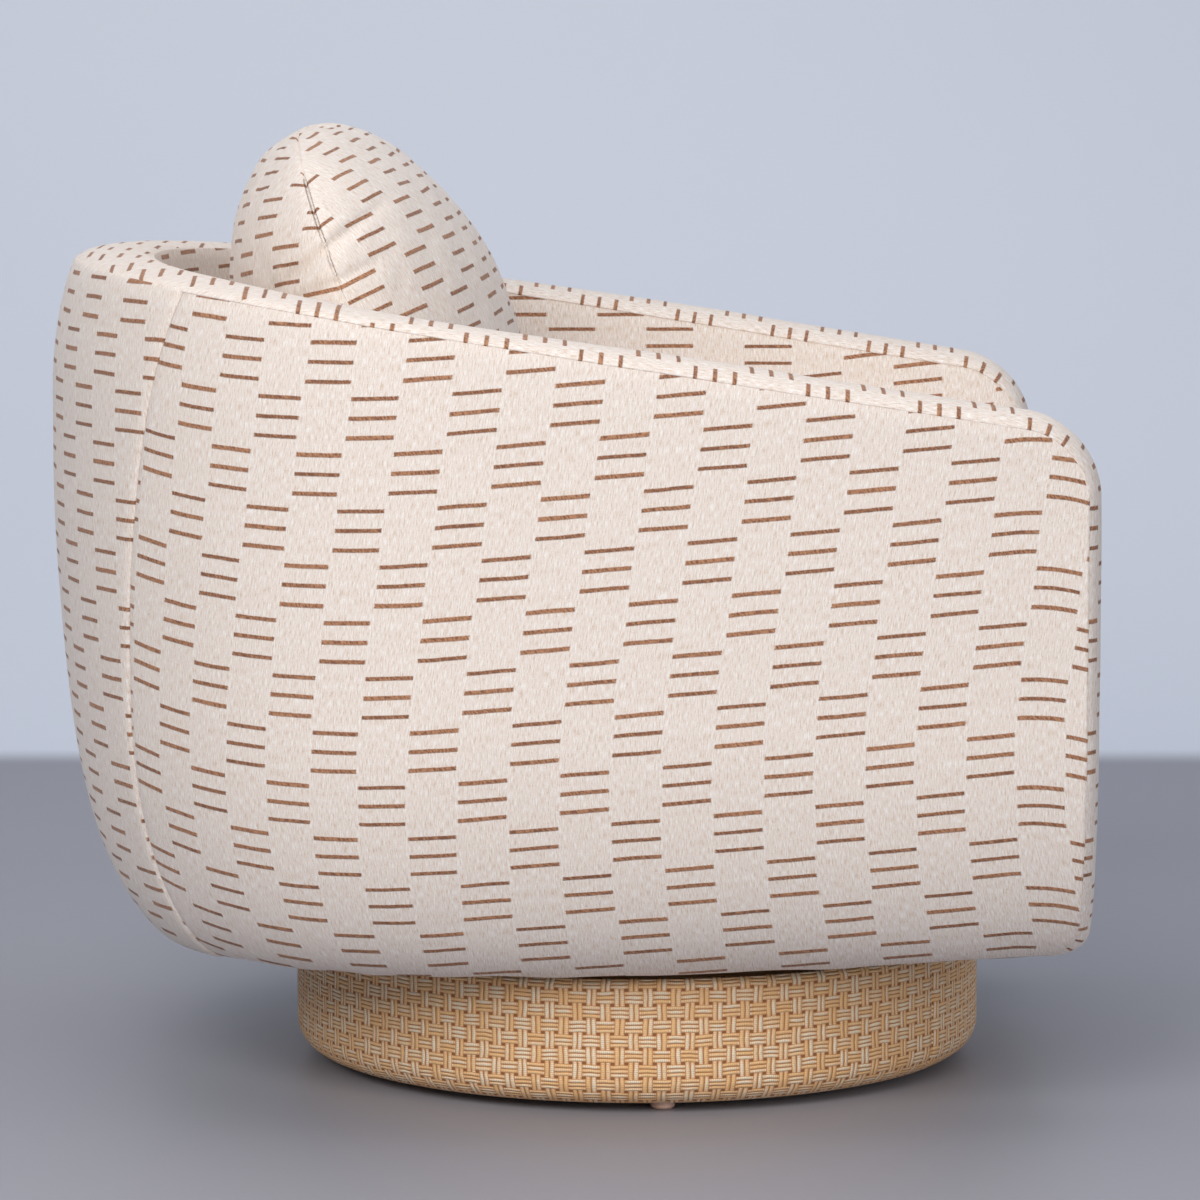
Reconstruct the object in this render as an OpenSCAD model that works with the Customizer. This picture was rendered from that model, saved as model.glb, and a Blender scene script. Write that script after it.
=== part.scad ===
// Swivel rocker: a deep tub chair on a round covered plinth. The shell turns on a
// ball plate and rocks on a shaft between the ball plate and the seat board.
// The chair faces -Y and +Z is up. The origin is at the floor, under the middle of the
// chair's width and length, and the swivel axis stands a little ahead of it. All is drawn
// about the swivel axis first and moved forward at the end.

/* [Shell] */
// Half of the shell's width where the sides turn into the back
half_width = 415; // [390:1:440]
// How far behind the swivel axis the sides turn into the back
turn_reach = 134; // [120:1:150]
// Depth of the round back behind that line
back_bow = 357; // [330:1:380]
// How far ahead of the swivel axis the arm fronts stand
arm_reach = 350; // [340:1:370]
// How much each side draws in from the turn to the arm front
front_taper = 36; // [20:1:44]
// Height of the rim seam beside the swivel axis
rim_height = 612; // [590:1:640]
// How much higher the rim seam would be at the back than beside the axis
rim_rise = 78; // [50:1:90]
// How much the rim levels off at the back
rim_ease = 9; // [4:1:24]
// How far behind the swivel axis the rim starts to level off
rim_ease_reach = 200; // [150:1:250]
// Thickness of the wall at the rim
wall = 66; // [62:1:74]
// Radius of the rim seam at the top of the arm front
arm_round = 50; // [46:1:52]
// Radius of the seam at the foot of the arm front
foot_round = 28; // [20:1:34]
// Crown of the rim band above its seams, at the arm front
band_crown = 11; // [8:1:14]
// Crown of the rim band above its seams, at the back
back_crown = 6; // [4:1:12]

/* [Lower edge] */
// Height of the shell's lower edge
lip_height = 117; // [115:1:122]
// How much the lower edge rises to the arm fronts
lip_rise = 12; // [6:1:16]
// How far the lower edge lies in from the side
side_tuck = 114; // [108:1:115]
// How far the lower edge lies in from the back
back_tuck = 82; // [70:1:95]
// Height at which the side starts to curve in
side_belly = 330; // [300:1:350]
// Height at which the back starts to curve in
back_belly = 520; // [480:1:540]

/* [Seat] */
// Height of the seat deck
deck_height = 320; // [310:1:328]
// How much deeper the inside back is padded at the seat than at the rim
back_swell = 84; // [60:1:95]
// How much deeper the inside arms are padded at the seat than at the rim
arm_swell = 8; // [4:1:14]
// Thickness of the seat cushion at its edge
cushion_edge = 112; // [100:1:120]
// Crown of the seat cushion above and below its edge seams
cushion_crown = 26; // [18:1:30]
// How far the cushion's side is drawn in at each seam
cushion_draw = 7; // [4:1:10]
// Length of the back pillow
pillow_length = 600; // [560:1:610]
// Height of the back pillow
pillow_height = 352; // [330:1:370]
// Thickness of the back pillow
pillow_depth = 226; // [200:1:240]

/* [Plinth] */
// Radius of the covered plinth
plinth_radius = 291; // [280:1:292]
// Height of the plinth's lower edge, which is the height of the glides
glide_height = 6.5; // [5:0.5:8]
// Height of the plinth's top board
plinth_top = 110; // [106:1:111]
// Radius of the plinth cover's lower edge
plinth_round = 24; // [16:1:28]
// Radius of a glide
glide_radius = 10; // [8:0.5:12]
// Number of glides
glide_count = 4; // [3:1:8]

/* [Swivel and rocker] */
// Height of the rocker shaft's axis
shaft_height = 150; // [148:1:152]
// Radius of the rocker shaft
shaft_radius = 8; // [6:0.5:9]
// Radius of the bearing balls
ball_radius = 4; // [3.5:0.1:4.2]
// Number of bearing balls
ball_count = 16; // [12:1:20]
// Radius of the ball track
track_radius = 72; // [66:1:78]
// Rock backwards from rest, in degrees
rock_back = 8; // [4:1:8]
// Rock forwards from rest, in degrees
rock_front = 6; // [3:1:6]
// Number of coils in a rock spring
spring_coils = 5; // [4:1:6]
// Wire radius of a rock spring
spring_wire = 2.5; // [2:0.1:3]
// Coil radius of a rock spring, to the wire's middle
spring_radius = 14.5; // [12:0.5:16]

/* [Frame] */
// Thickness of the frame's plywood
ply = 18; // [15:1:19]
// Thickness of the bent outer boards
board = 3; // [2.5:0.1:4]
// Thickness of the wadding under the outer cloth
wadding = 8; // [6:0.5:9]
// Thickness of the cover cloth
cloth = 1.5; // [1.2:0.1:1.8]

/* [Hidden] */

// Gap between soft layers that lie on each other
layer_gap = 0.5;
// Gap between pieces that lie on each other face to face
seat_gap = 0.3;
// Radial clearance of a running fit
run_gap = 0.06;
// Overrun of a cut past the face that it opens
over = 1;

// Shares that shape the shell's plan: where the back ends, and how square it is
turn_share = 0.52;
plan_power = 2.12;
taper_power = 2.2;
seam_share = 0.222;
seam_flare_share = 0.07;
back_y = turn_reach + back_bow;
front_run = turn_reach + arm_reach;
rim_slope = rim_rise / back_y;
rim_ease_run = back_y - rim_ease_reach;
lip_start = lip_height * 0.256;
side_top_ease = wall / 11;
side_top_start = rim_height - wall * 0.77;
back_top_ease = wall * 0.27;
back_top_start = rim_height - wall * 0.62;
top_ease_run = wall * 1.6;

// Rows and columns of the shell's panels
arm_main = 11;
arm_corner = 3;
arm_columns = arm_main + arm_corner;
back_columns = 10;
rows = 11;
row_power = 1.4;
inner_rows = 6;

function mix(a, b, s) = a + (b - a) * s;
function side_share(t) = (abs(t) - turn_share) / (1 - turn_share);

// The plan of the outer surface: t runs from -1 at the sitter's right arm front,
// through 0 at the middle of the back, to 1 at the left arm front
function plan(t) =
    abs(t) < turn_share
        ? [
            sign(t) * half_width * pow(sin(90 * abs(t) / turn_share), 2 / plan_power),
            turn_reach + back_bow * pow(cos(90 * abs(t) / turn_share), 2 / plan_power)
        ]
        : [
            sign(t) * (half_width - front_taper * pow(side_share(t), taper_power)),
            turn_reach - front_run * side_share(t)
        ];

// The direction outwards, level, at t. It ends square to the arm front
function side_turn(k) =
    atan(front_taper * taper_power * pow(k, taper_power - 1) / front_run) * (1 - k * k);
function back_way(a) = [
    pow(sin(a), 2 * (plan_power - 1) / plan_power) / half_width,
    pow(cos(a), 2 * (plan_power - 1) / plan_power) / back_bow
];
function way(t) =
    abs(t) < turn_share
        ? let(w = back_way(90 * abs(t) / turn_share)) [sign(t) * w.x, w.y] / norm(w)
        : let(a = side_turn(side_share(t))) [sign(t) * cos(a), -sin(a)];

// How far a rounded corner of radius r falls away at y, with its side g behind the arm front
function corner_fall(y, r, g) =
    let(e = min(r - g, max(0, r - arm_reach - y))) r - g - sqrt(pow(r - g, 2) - e * e);
// Height of the rim's edge line, lowered by g
function rim_z(y, g = 0) =
    rim_height + rim_slope * y - g
        - rim_ease * pow(max(0, (y - rim_ease_reach) / rim_ease_run), 2)
        - corner_fall(y, arm_round, g);
function lip_line(y) =
    lip_height + lip_rise * pow(max(0, (lip_start - y) / (lip_start + arm_reach)), 1.3);
function lip_z(y, g = 0) = lip_line(y) + corner_fall(y, foot_round, g);

// How far the outer surface lies inside the plan at height z
function side_inset(y, z) =
    let(x = max(0, min(1, (side_belly - z) / (side_belly - lip_line(y)))))
        side_tuck * (1 - sqrt(1 - x * x))
            + side_top_ease * pow(max(0, (z - side_top_start) / top_ease_run), 2);
function back_inset(y, z) =
    let(x = max(0, min(1, (back_belly - z) / (back_belly - lip_line(y)))))
        back_tuck * (0.56 * pow(x, 2) + 0.44 * pow(x, 8))
            + back_top_ease * pow(max(0, (z - back_top_start) / top_ease_run), 2);
function back_part(t) = pow(max(0, way(t).y), 3);
function inset(t, z) =
    mix(side_inset(plan(t).y, z), back_inset(plan(t).y, z), back_part(t));

// A point of the outer profile at t, as [inset, height]: v runs from 0 at the rim to 1 at the lip
function profile(t, v, g = 0) =
    let(y = plan(t).y, z = mix(rim_z(y, g), lip_z(y, g), sin(90 * pow(v, row_power)))) [inset(t, z), z];
function facing(t, v, g = 0) =
    let(d = profile(t, min(1, v + 0.01), g) - profile(t, max(0, v - 0.01), g)) [-d.y, d.x] / norm(d);
function place(t, p) = [plan(t).x - way(t).x * p.x, plan(t).y - way(t).y * p.x, p.y];
function shell(t, v, depth, g = 0) = place(t, profile(t, v, g) + depth * facing(t, v, g));

// Level distance from the plan to a surface that lies depth under the outer surface
under_steps = 24;
function under(t, z, depth) =
    lookup(z, [
        for (k = [under_steps:-1:0])
        let(v = k / under_steps, p = profile(t, v) + depth * facing(t, v)) [p.y, p.x]
    ]);

// The seam between an arm panel and the back panel leans forward towards the rim
function seam(v) = seam_share + seam_flare_share * pow(1 - pow(v, row_power), 5);
function stop_t(g) = turn_share + (1 - turn_share) * (1 - g / front_run);
function arm_t(side, i, v, g = 0) =
    i <= arm_main
        ? side * mix(seam(v), stop_t(arm_round), i / arm_main)
        : side * stop_t(g + (arm_round - g) * (1 - sin(90 * (i - arm_main) / arm_corner)));
seam_gap_share = turn_share * seat_gap / back_bow;
function back_t(i, v) = (seam(v) - seam_gap_share) * (2 * i / back_columns - 1);

// Inside surface: w runs from 0 at the rim to 1 at the deck
function inner_drop(t, w, g) = mix(rim_z(plan(t).y, g), inner_foot, w);
function rim_inset(t) = inset(t, rim_z(plan(t).y));
function inner_inset(t, w) =
    let(s = min(1, w / 0.55), ease = s * s * (3 - 2 * s))
        wall + rim_inset(t) * (1 - ease) + ease * mix(arm_swell, back_swell, back_part(t));
function inner(t, w, depth, g = 0) = place(t, [inner_inset(t, w) - depth, inner_drop(t, w, g)]);

// Layers, as depths under the outer surface and behind the inside surface
wadding_in = cloth + layer_gap * 1.9;
board_in = wadding_in + wadding + layer_gap;
rib_in = board_in + board + layer_gap * 5;
rib_depth = wall * 0.28;
rib_back = rib_in + rib_depth;
inner_board_back = rib_back + seat_gap;
inner_board_front = inner_board_back + board;
foam_back = inner_board_front + layer_gap;
foam_front = cloth + layer_gap;
rib_foot = wall * 0.94;
rail_in = rib_foot + seat_gap;
rail_width = wall * 0.55;

// Depths under the rim band's crown
rail_thick = ply;
rim_pad_low = wall * 0.14;
rim_rail_top = rim_pad_low + layer_gap * 2;
layers_top = rim_pad_low + layer_gap * 5;
rim_rail_low = rim_rail_top + rail_thick;
rib_top = rim_rail_low + layer_gap * 2 + rim_slope * ply / 2;

// Heights
frame_low = lip_height + lip_rise + board_in + board + cloth * 2 + layer_gap * 2;
frame_top = frame_low + ply;
seat_board_low = shaft_height + shaft_radius * 4.5;
seat_board_top = seat_board_low + ply;
seat_wire = wall * 0.06;
clip_wall = cloth;
clip_height = seat_wire + 2 * clip_wall + 2 * seat_gap;
rail_top = deck_height - cloth - seat_gap - clip_height;
rail_low = rail_top - ply;
inner_foot = rail_top + seat_gap;
recess_radius = plinth_radius + seat_gap * 24;

// Points that make a closed body between two grids of (columns + 1) by (lines + 1) points
module slab(front, back, columns, lines) {
    size = (columns + 1) * (lines + 1);
    points = concat(
        [for (i = [0:columns]) for (j = [0:lines]) front(i, j)],
        [for (i = [0:columns]) for (j = [0:lines]) back(i, j)]
    );
    edge = concat(
        [for (i = [0:columns - 1]) i * (lines + 1)],
        [for (j = [0:lines - 1]) columns * (lines + 1) + j],
        [for (i = [columns:-1:1]) i * (lines + 1) + lines],
        [for (j = [lines:-1:1]) j]
    );
    faces = concat(
        [
            for (i = [0:columns - 1]) for (j = [0:lines - 1])
            let(a = i * (lines + 1) + j, b = a + lines + 1)
            for (f = [[a, a + 1, b + 1], [a, b + 1, b]]) f
        ],
        [
            for (i = [0:columns - 1]) for (j = [0:lines - 1])
            let(a = size + i * (lines + 1) + j, b = a + lines + 1)
            for (f = [[a, b + 1, a + 1], [a, b, b + 1]]) f
        ],
        [
            for (k = [0:len(edge) - 1])
            let(a = edge[k], b = edge[(k + 1) % len(edge)])
            for (f = [[a, b, b + size], [a, b + size, a + size]]) f
        ]
    );
    polyhedron(points, faces);
}

// Rings of equal counts, closed by one point at each end
module closed_rings(first, rings, last) {
    count = len(rings[0]);
    points = concat([first], [for (r = rings) for (p = r) p], [last]);
    end = len(points) - 1;
    faces = concat(
        [for (k = [0:count - 1]) [0, 1 + k, 1 + (k + 1) % count]],
        [
            for (r = [0:len(rings) - 2]) for (k = [0:count - 1])
            let(a = 1 + r * count + k, b = 1 + r * count + (k + 1) % count)
            for (f = [[a, a + count, b + count], [a, b + count, b]]) f
        ],
        [for (k = [0:count - 1]) [end, end - count + (k + 1) % count, end - count + k]]
    );
    polyhedron(points, faces);
}

// A bar swept along points, with its section's points given ring by ring
module swept(rings) {
    count = len(rings[0]);
    last = len(rings) - 1;
    points = [for (r = rings) for (p = r) p];
    faces = concat(
        [for (k = [1:count - 2]) [0, k, k + 1]],
        [
            for (r = [0:last - 1]) for (k = [0:count - 1])
            let(a = r * count + k, b = r * count + (k + 1) % count)
            for (f = [[a, a + count, b + count], [a, b + count, b]]) f
        ],
        [for (k = [1:count - 2]) [last * count, last * count + k + 1, last * count + k]]
    );
    polyhedron(points, faces);
}

module level_sheet(outline, low, high) {
    translate([0, 0, low]) linear_extrude(high - low) polygon(outline);
}

// Plinth
plinth_cover_top = plinth_top + cloth;
pad_thick = wadding * 0.6;
plinth_wall_out = plinth_radius - cloth - seat_gap - pad_thick - seat_gap;
plinth_wall_in = plinth_wall_out - board * 2;
ring_low = glide_height + cloth + seat_gap;
ring_top = ring_low + ply;
top_board_low = plinth_top - ply;
ring_in = plinth_radius * 0.7;
block_width = ply * 3;
block_depth = ply * 2;
block_count = 8;
glide_ring = plinth_wall_in - glide_radius * 2.2;
glide_turn = 4.3;
screw_radius = glide_radius * 0.2;
screw_head = glide_radius * 0.45;
screw_head_thick = glide_height * 0.25;
screw_length = ply * 0.9;
hem_width = ply * 1.5;

module around(count, radius, start = 0) {
    for (i = [0:count - 1]) rotate(start + 360 * i / count) translate([radius, 0, 0]) children();
}
module tube(outer, inner, low, high) {
    translate([0, 0, low]) difference() {
        cylinder(h = high - low, r = outer, $fn = 96);
        translate([0, 0, -over]) cylinder(h = high - low + 2 * over, r = inner, $fn = 96);
    }
}
module rod(radius, low, high) {
    translate([0, 0, low]) cylinder(h = high - low, r = radius, $fn = 48);
}

module glides() {
    color("#d9b9a4") around(glide_count, glide_ring, glide_turn) difference() {
        rotate_extrude($fn = 48) polygon([
            [0, 0], [glide_radius * 0.8, 0], [glide_radius, glide_height * 0.3],
            [glide_radius, glide_height], [0, glide_height]
        ]);
        rod(screw_radius, -over, glide_height + over);
        rod(screw_head, -over, screw_head_thick * 2);
    }
}
module glide_screws() {
    color("#9c9d9f") around(glide_count, glide_ring, glide_turn) union() {
        rod(screw_head - seat_gap, screw_head_thick, screw_head_thick * 2);
        rod(screw_radius - run_gap, screw_head_thick * 2, screw_length + glide_height);
    }
}
module screw_holes(low, high) {
    around(glide_count, glide_ring, glide_turn) rod(screw_radius, low, high);
}
module plinth_bottom_ring() {
    mid = plinth_radius - plinth_round;
    low_round = plinth_round - cloth - seat_gap;
    color("#c9a878") difference() {
        rotate_extrude($fn = 96) polygon(concat(
            [[ring_in, ring_low]],
            round_edge(
                mid, ring_low + low_round, low_round, -90, -acos((plinth_wall_out - mid) / low_round), 4
            ),
            [[plinth_wall_out, ring_top], [ring_in, ring_top]]
        ));
        screw_holes(ring_low - over, ring_top + over);
    }
}
module plinth_blocks() {
    color("#c29a68") around(block_count, plinth_wall_in - block_depth / 2 - ply / 6)
        translate([-block_depth / 2, -block_width / 2, ring_top])
            cube([block_depth, block_width, top_board_low - ring_top]);
}
module plinth_wall() {
    color("#c9a878") tube(plinth_wall_out, plinth_wall_in, ring_top, top_board_low);
}
module plinth_top_board() {
    color("#c9a878") difference() {
        rod(plinth_wall_out, top_board_low, plinth_top);
        rod(pin_flange + run_gap, top_board_low - over, plinth_top + over);
        base_bolt_places() rod(tee_barrel, top_board_low - over, plinth_top + over);
    }
}
module plinth_padding() {
    color("#efece4") tube(
        plinth_wall_out + seat_gap + pad_thick, plinth_wall_out + seat_gap,
        glide_height + plinth_round, plinth_top - plinth_round / 4
    );
}
// Half of the cover's section: hem under the ring, round lower edge, side, top and hem over the board
function round_edge(cx, cy, r, from, to, steps) =
    [for (i = [0:steps]) let(a = mix(from, to, i / steps)) [cx + r * cos(a), cy + r * sin(a)]];
module plinth_cover() {
    low = glide_height + plinth_round;
    mid = plinth_radius - plinth_round;
    top_round = plinth_round / 4;
    high = plinth_cover_top - top_round;
    top_mid = plinth_radius - top_round;
    color("#c89a4a") difference() {
        rotate_extrude($fn = 96) polygon(concat(
        [[plinth_wall_out - hem_width * 2, glide_height]],
        round_edge(mid, low, plinth_round, -90, 0, 6),
        round_edge(top_mid, high, top_round, 0, 90, 4),
        [[plinth_wall_out - hem_width, plinth_cover_top], [plinth_wall_out - hem_width, plinth_top]],
        round_edge(top_mid, high, top_round - cloth, 90, 0, 4),
        round_edge(mid, low, plinth_round - cloth, 0, -90, 6),
        [[plinth_wall_out - hem_width * 2, glide_height + cloth]]
        ));
        screw_holes(glide_height - over, glide_height + cloth + over);
    }
}

// Ball plate
plate_thick = ply / 6;
plate_low = plinth_top;
plate_half = track_radius * 1.25;
race_width = ball_radius * 2.4;
race_thick = ball_radius * 1.125;
race_gap = ball_radius * 0.75;
groove_radius = ball_radius + run_gap * 1.5;
lower_race_top = plate_low + plate_thick + race_thick;
ball_z = lower_race_top + race_gap / 2;
upper_race_low = lower_race_top + race_gap;
upper_plate_low = upper_race_low + race_thick;
upper_plate_top = upper_plate_low + plate_thick;
upper_half_x = track_radius * 1.25;
upper_half_y = track_radius * 1.42;
pin_radius = shaft_radius;
pin_flange = pin_radius * 2;
pin_cap = pin_radius * 1.9;
pin_cap_thick = plate_thick;
cage_thick = race_gap * 0.4;
base_bolt_place = plate_half - shaft_radius * 1.6;
base_bolt_radius = shaft_radius * 0.4;
bolt_head = base_bolt_radius * 1.8;
bolt_head_thick = base_bolt_radius * 1.2;
tee_barrel = base_bolt_radius * 1.5;
tee_flange = base_bolt_radius * 3;
plate_corner = shaft_radius * 1.4;

module corners(x, y) {
    for (sx = [-1, 1]) for (sy = [-1, 1]) translate([sx * x, sy * y, 0]) children();
}
module base_bolt_places() {
    corners(base_bolt_place, base_bolt_place) children();
}
// A plate with round corners, made of three boxes' outlines
module plate(x, y, low, high) {
    translate([0, 0, low]) linear_extrude(high - low) union() {
        square([2 * (x - plate_corner), 2 * y], center = true);
        square([2 * x, 2 * (y - plate_corner)], center = true);
        for (sx = [-1, 1]) for (sy = [-1, 1])
            translate([sx * (x - plate_corner), sy * (y - plate_corner)]) circle(plate_corner, $fn = 32);
    }
}
module groove() {
    translate([0, 0, ball_z]) rotate_extrude($fn = 96) translate([track_radius, 0])
        circle(groove_radius, $fn = 32);
}
module race(low, high) {
    difference() {
        tube(track_radius + race_width, track_radius - race_width, low, high);
        groove();
    }
}
module swivel_lower_plate() {
    color("#8c8f93") difference() {
        union() {
            plate(plate_half, plate_half, plate_low, plate_low + plate_thick);
            race(plate_low + plate_thick, lower_race_top);
        }
        rod(pin_radius + run_gap / 3, plate_low - over, lower_race_top);
        base_bolt_places() rod(base_bolt_radius + run_gap, plate_low - over, lower_race_top);
    }
}
module base_bolts() {
    color("#b7b9bc") base_bolt_places() union() {
        rod(base_bolt_radius, top_board_low, plate_low + plate_thick + seat_gap);
        rod(bolt_head, plate_low + plate_thick, plate_low + plate_thick + bolt_head_thick);
    }
}
module base_tee_nuts() {
    color("#a9abae") base_bolt_places() difference() {
        union() {
            rod(tee_barrel - run_gap, top_board_low, plinth_top - seat_gap);
            rod(tee_flange, top_board_low - plate_thick / 2, top_board_low);
        }
        rod(base_bolt_radius + run_gap, top_board_low - plate_thick, plinth_top + over);
    }
}
module king_pin() {
    color("#77797c") union() {
        rod(pin_flange, plate_low - plate_thick, plate_low);
        rod(pin_radius, plate_low - seat_gap, upper_plate_top + seat_gap + pin_cap_thick);
        rod(pin_cap, upper_plate_top + seat_gap, upper_plate_top + seat_gap + pin_cap_thick);
    }
}
module ball_cage() {
    color("#c7b27a") difference() {
        tube(
            track_radius + race_width - seat_gap, track_radius - race_width + seat_gap,
            ball_z - cage_thick / 2, ball_z + cage_thick / 2
        );
        around(ball_count, track_radius)
            rod(ball_radius + run_gap * 2, ball_z - race_gap, ball_z + race_gap);
    }
}
module bearing_balls() {
    color("#d4d6d8") around(ball_count, track_radius) translate([0, 0, ball_z])
        sphere(ball_radius, $fn = 32);
}
module swivel_upper_plate() {
    color("#8c8f93") difference() {
        union() {
            plate(upper_half_x, upper_half_y, upper_plate_low, upper_plate_top);
            race(upper_race_low, upper_plate_low);
        }
        rod(pin_radius + run_gap, upper_race_low - over, upper_plate_top + over);
        bracket_bolt_places() rod(base_bolt_radius + run_gap, upper_race_low - over, upper_plate_top + over);
    }
}

// Rocker
bracket_thick = shaft_radius * 0.625;
bracket_out = track_radius * 0.97;
bracket_in = bracket_out - bracket_thick;
bracket_foot = shaft_radius * 4;
bracket_half = shaft_radius * 3;
ear_round = shaft_radius * 2.25;
bush_flange = shaft_radius * 0.1;
ear_in = bracket_out + bush_flange + run_gap * 4;
ear_thick = bracket_thick;
ear_out = ear_in + ear_thick;
bush_radius = shaft_radius * 1.3;
bush_rim = shaft_radius * 1.6;
clip_thick = shaft_radius * 0.15;
clip_in = ear_out + bush_flange + run_gap * 4;
clip_radius = shaft_radius * 1.4;
shaft_end = clip_in + clip_thick * 3;
top_plate_low = seat_board_low - plate_thick;
top_half_x = track_radius * 1.42;
top_half_y = track_radius * 1.45;
mount_bolt_x = ear_out + shaft_radius * 1.5;
mount_bolt_y = top_half_y - shaft_radius * 4;
bracket_bolt_x = bracket_in - bracket_foot / 2;
bracket_bolt_y = bracket_half * 0.6;
seat_disc = spring_radius + spring_wire * 2.2;
disc_thick = plate_thick;
spring_x = spring_radius * 2.9;
spring_y = upper_half_y - seat_disc - shaft_radius;
spring_low = upper_plate_top + disc_thick + seat_gap;
spring_high = top_plate_low - disc_thick - seat_gap;
stop_radius = shaft_radius;
stop_x = bracket_out;
stop_y = upper_half_y - stop_radius - shaft_radius / 4;

module along_x(x, low, high, radius) {
    translate([low, 0, shaft_height]) rotate([0, 90, 0]) cylinder(h = high - low, r = radius, $fn = 64);
}
module both_sides() {
    children();
    mirror([1, 0, 0]) children();
}
module bracket_bolt_places() {
    corners(bracket_bolt_x, bracket_bolt_y) children();
}
module pivot_brackets() {
    color("#6f7276") both_sides() difference() {
        union() {
            translate([bracket_in, -bracket_half, upper_plate_top])
                cube([bracket_thick, 2 * bracket_half, shaft_height - upper_plate_top]);
            along_x(0, bracket_in, bracket_out, bracket_half);
            translate([bracket_in - bracket_foot, -bracket_half, upper_plate_top])
                cube([bracket_foot + bracket_thick, 2 * bracket_half, bracket_thick]);
        }
        along_x(0, bracket_in - over, bracket_out + over, shaft_radius + run_gap / 3);
        translate([bracket_bolt_x, 0, 0]) for (s = [-1, 1]) translate([0, s * bracket_bolt_y, 0])
            rod(base_bolt_radius + run_gap, upper_plate_top - over, shaft_height);
        translate([0, -bracket_half * 2, 0])
            cube([bracket_out + over, bracket_half * 4, upper_plate_top]);
    }
}
module bracket_bolts() {
    color("#b7b9bc") bracket_bolt_places() union() {
        rod(base_bolt_radius, upper_plate_low, upper_plate_top + bracket_thick + seat_gap);
        rod(bolt_head, upper_plate_top + bracket_thick, upper_plate_top + bracket_thick + bolt_head_thick);
    }
}
module rocker_shaft() {
    color("#c3c5c8") difference() {
        along_x(0, -shaft_end, shaft_end, shaft_radius);
        for (s = [0, 1]) mirror([s, 0, 0]) difference() {
            along_x(0, clip_in, clip_in + clip_thick, shaft_radius + over);
            along_x(0, clip_in - over, clip_in + clip_thick + over, shaft_radius * 0.8);
        }
    }
}
module shaft_clips() {
    color("#4c4e50") both_sides() difference() {
        along_x(0, clip_in + run_gap, clip_in + clip_thick - run_gap, clip_radius);
        along_x(0, clip_in - over, clip_in + clip_thick + over, shaft_radius * 0.8 + run_gap);
        translate([clip_in - over, -shaft_radius * 0.7, shaft_height - clip_radius * 2])
            cube([clip_thick + 2 * over, shaft_radius * 1.4, clip_radius * 2]);
    }
}
module spring_places(front, rear) {
    for (sx = [-1, 1]) for (sy = concat(front ? [-1] : [], rear ? [1] : []))
        translate([sx * spring_x, sy * spring_y, 0]) children();
}
module spring_seats() {
    color("#3b3c3e") spring_places(true, true) union() {
        rod(seat_disc, upper_plate_top, upper_plate_top + disc_thick);
        rod(spring_radius - spring_wire * 1.5, upper_plate_top, upper_plate_top + disc_thick * 3);
    }
}
module spring_caps() {
    color("#3b3c3e") spring_places(true, true) union() {
        rod(seat_disc, top_plate_low - disc_thick, top_plate_low);
        rod(spring_radius - spring_wire * 1.5, top_plate_low - disc_thick * 3, top_plate_low);
    }
}
// Height of the tilted top plate's underside over y, when the seat has rocked by a
function tilted_low(y, a) =
    shaft_height + (top_plate_low - shaft_height - y * sin(a)) / cos(a);
module rock_stops() {
    color("#2c2c2d") for (sx = [-1, 1]) {
        translate([sx * stop_x, stop_y, 0])
            rod(stop_radius, upper_plate_top, tilted_low(stop_y + stop_radius, rock_back) - seat_gap);
        translate([sx * stop_x, -stop_y, 0])
            rod(stop_radius, upper_plate_top, tilted_low(stop_y + stop_radius, rock_front) - seat_gap);
    }
}

// Rock springs: a wire that climbs in even coils, with a flat end turn above and below
coil_steps = 10;
wire_sides = 6;
coil_total = spring_coils + 2;
spring_rise = spring_high - spring_low - 2 * spring_wire;
end_lead = spring_wire * 2.3;
function coil_height(turn) =
    turn < 1 ? end_lead * turn
        : turn > coil_total - 1 ? spring_rise - end_lead * (coil_total - turn)
            : mix(end_lead, spring_rise - end_lead, (turn - 1) / (coil_total - 2));
function coil_point(i) =
    let(turn = i / coil_steps) [
        spring_radius * cos(360 * turn), spring_radius * sin(360 * turn), coil_height(turn)
    ];
coil_path = [for (i = [0:coil_total * coil_steps]) coil_point(i)];
coil_gap = min([
    for (i = [0:len(coil_path) - 1 - coil_steps]) norm(coil_path[i + coil_steps] - coil_path[i])
]) - 2 * spring_wire;
function coil_ring(i) =
    let(a = 360 * i / coil_steps, p = coil_path[i]) [
        for (k = [0:wire_sides - 1])
        let(b = -360 * k / wire_sides, r = spring_wire * cos(b))
        p + [r * cos(a), r * sin(a), spring_wire * sin(b)]
    ];
module rock_spring() {
    translate([0, 0, spring_low + spring_wire])
        swept([for (i = [0:len(coil_path) - 1]) coil_ring(i)]);
}
module rock_springs_front() {
    echo(least_gap_between_coils = coil_gap);
    color("#5d6063") spring_places(true, false) rock_spring();
}
module rock_springs_rear() {
    color("#5d6063") spring_places(false, true) rock_spring();
}
module rocker_top_plate() {
    color("#8c8f93") difference() {
        union() {
            plate(top_half_x, top_half_y, top_plate_low, seat_board_low);
            both_sides() union() {
                translate([ear_in, -ear_round, shaft_height])
                    cube([ear_thick, 2 * ear_round, top_plate_low - shaft_height + plate_thick / 2]);
                along_x(0, ear_in, ear_out, ear_round);
            }
        }
        both_sides() along_x(0, ear_in - over, ear_out + over, bush_radius + run_gap / 3);
        corners(mount_bolt_x, mount_bolt_y)
            rod(base_bolt_radius + run_gap, top_plate_low - over, seat_board_low + over);
    }
}
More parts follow.
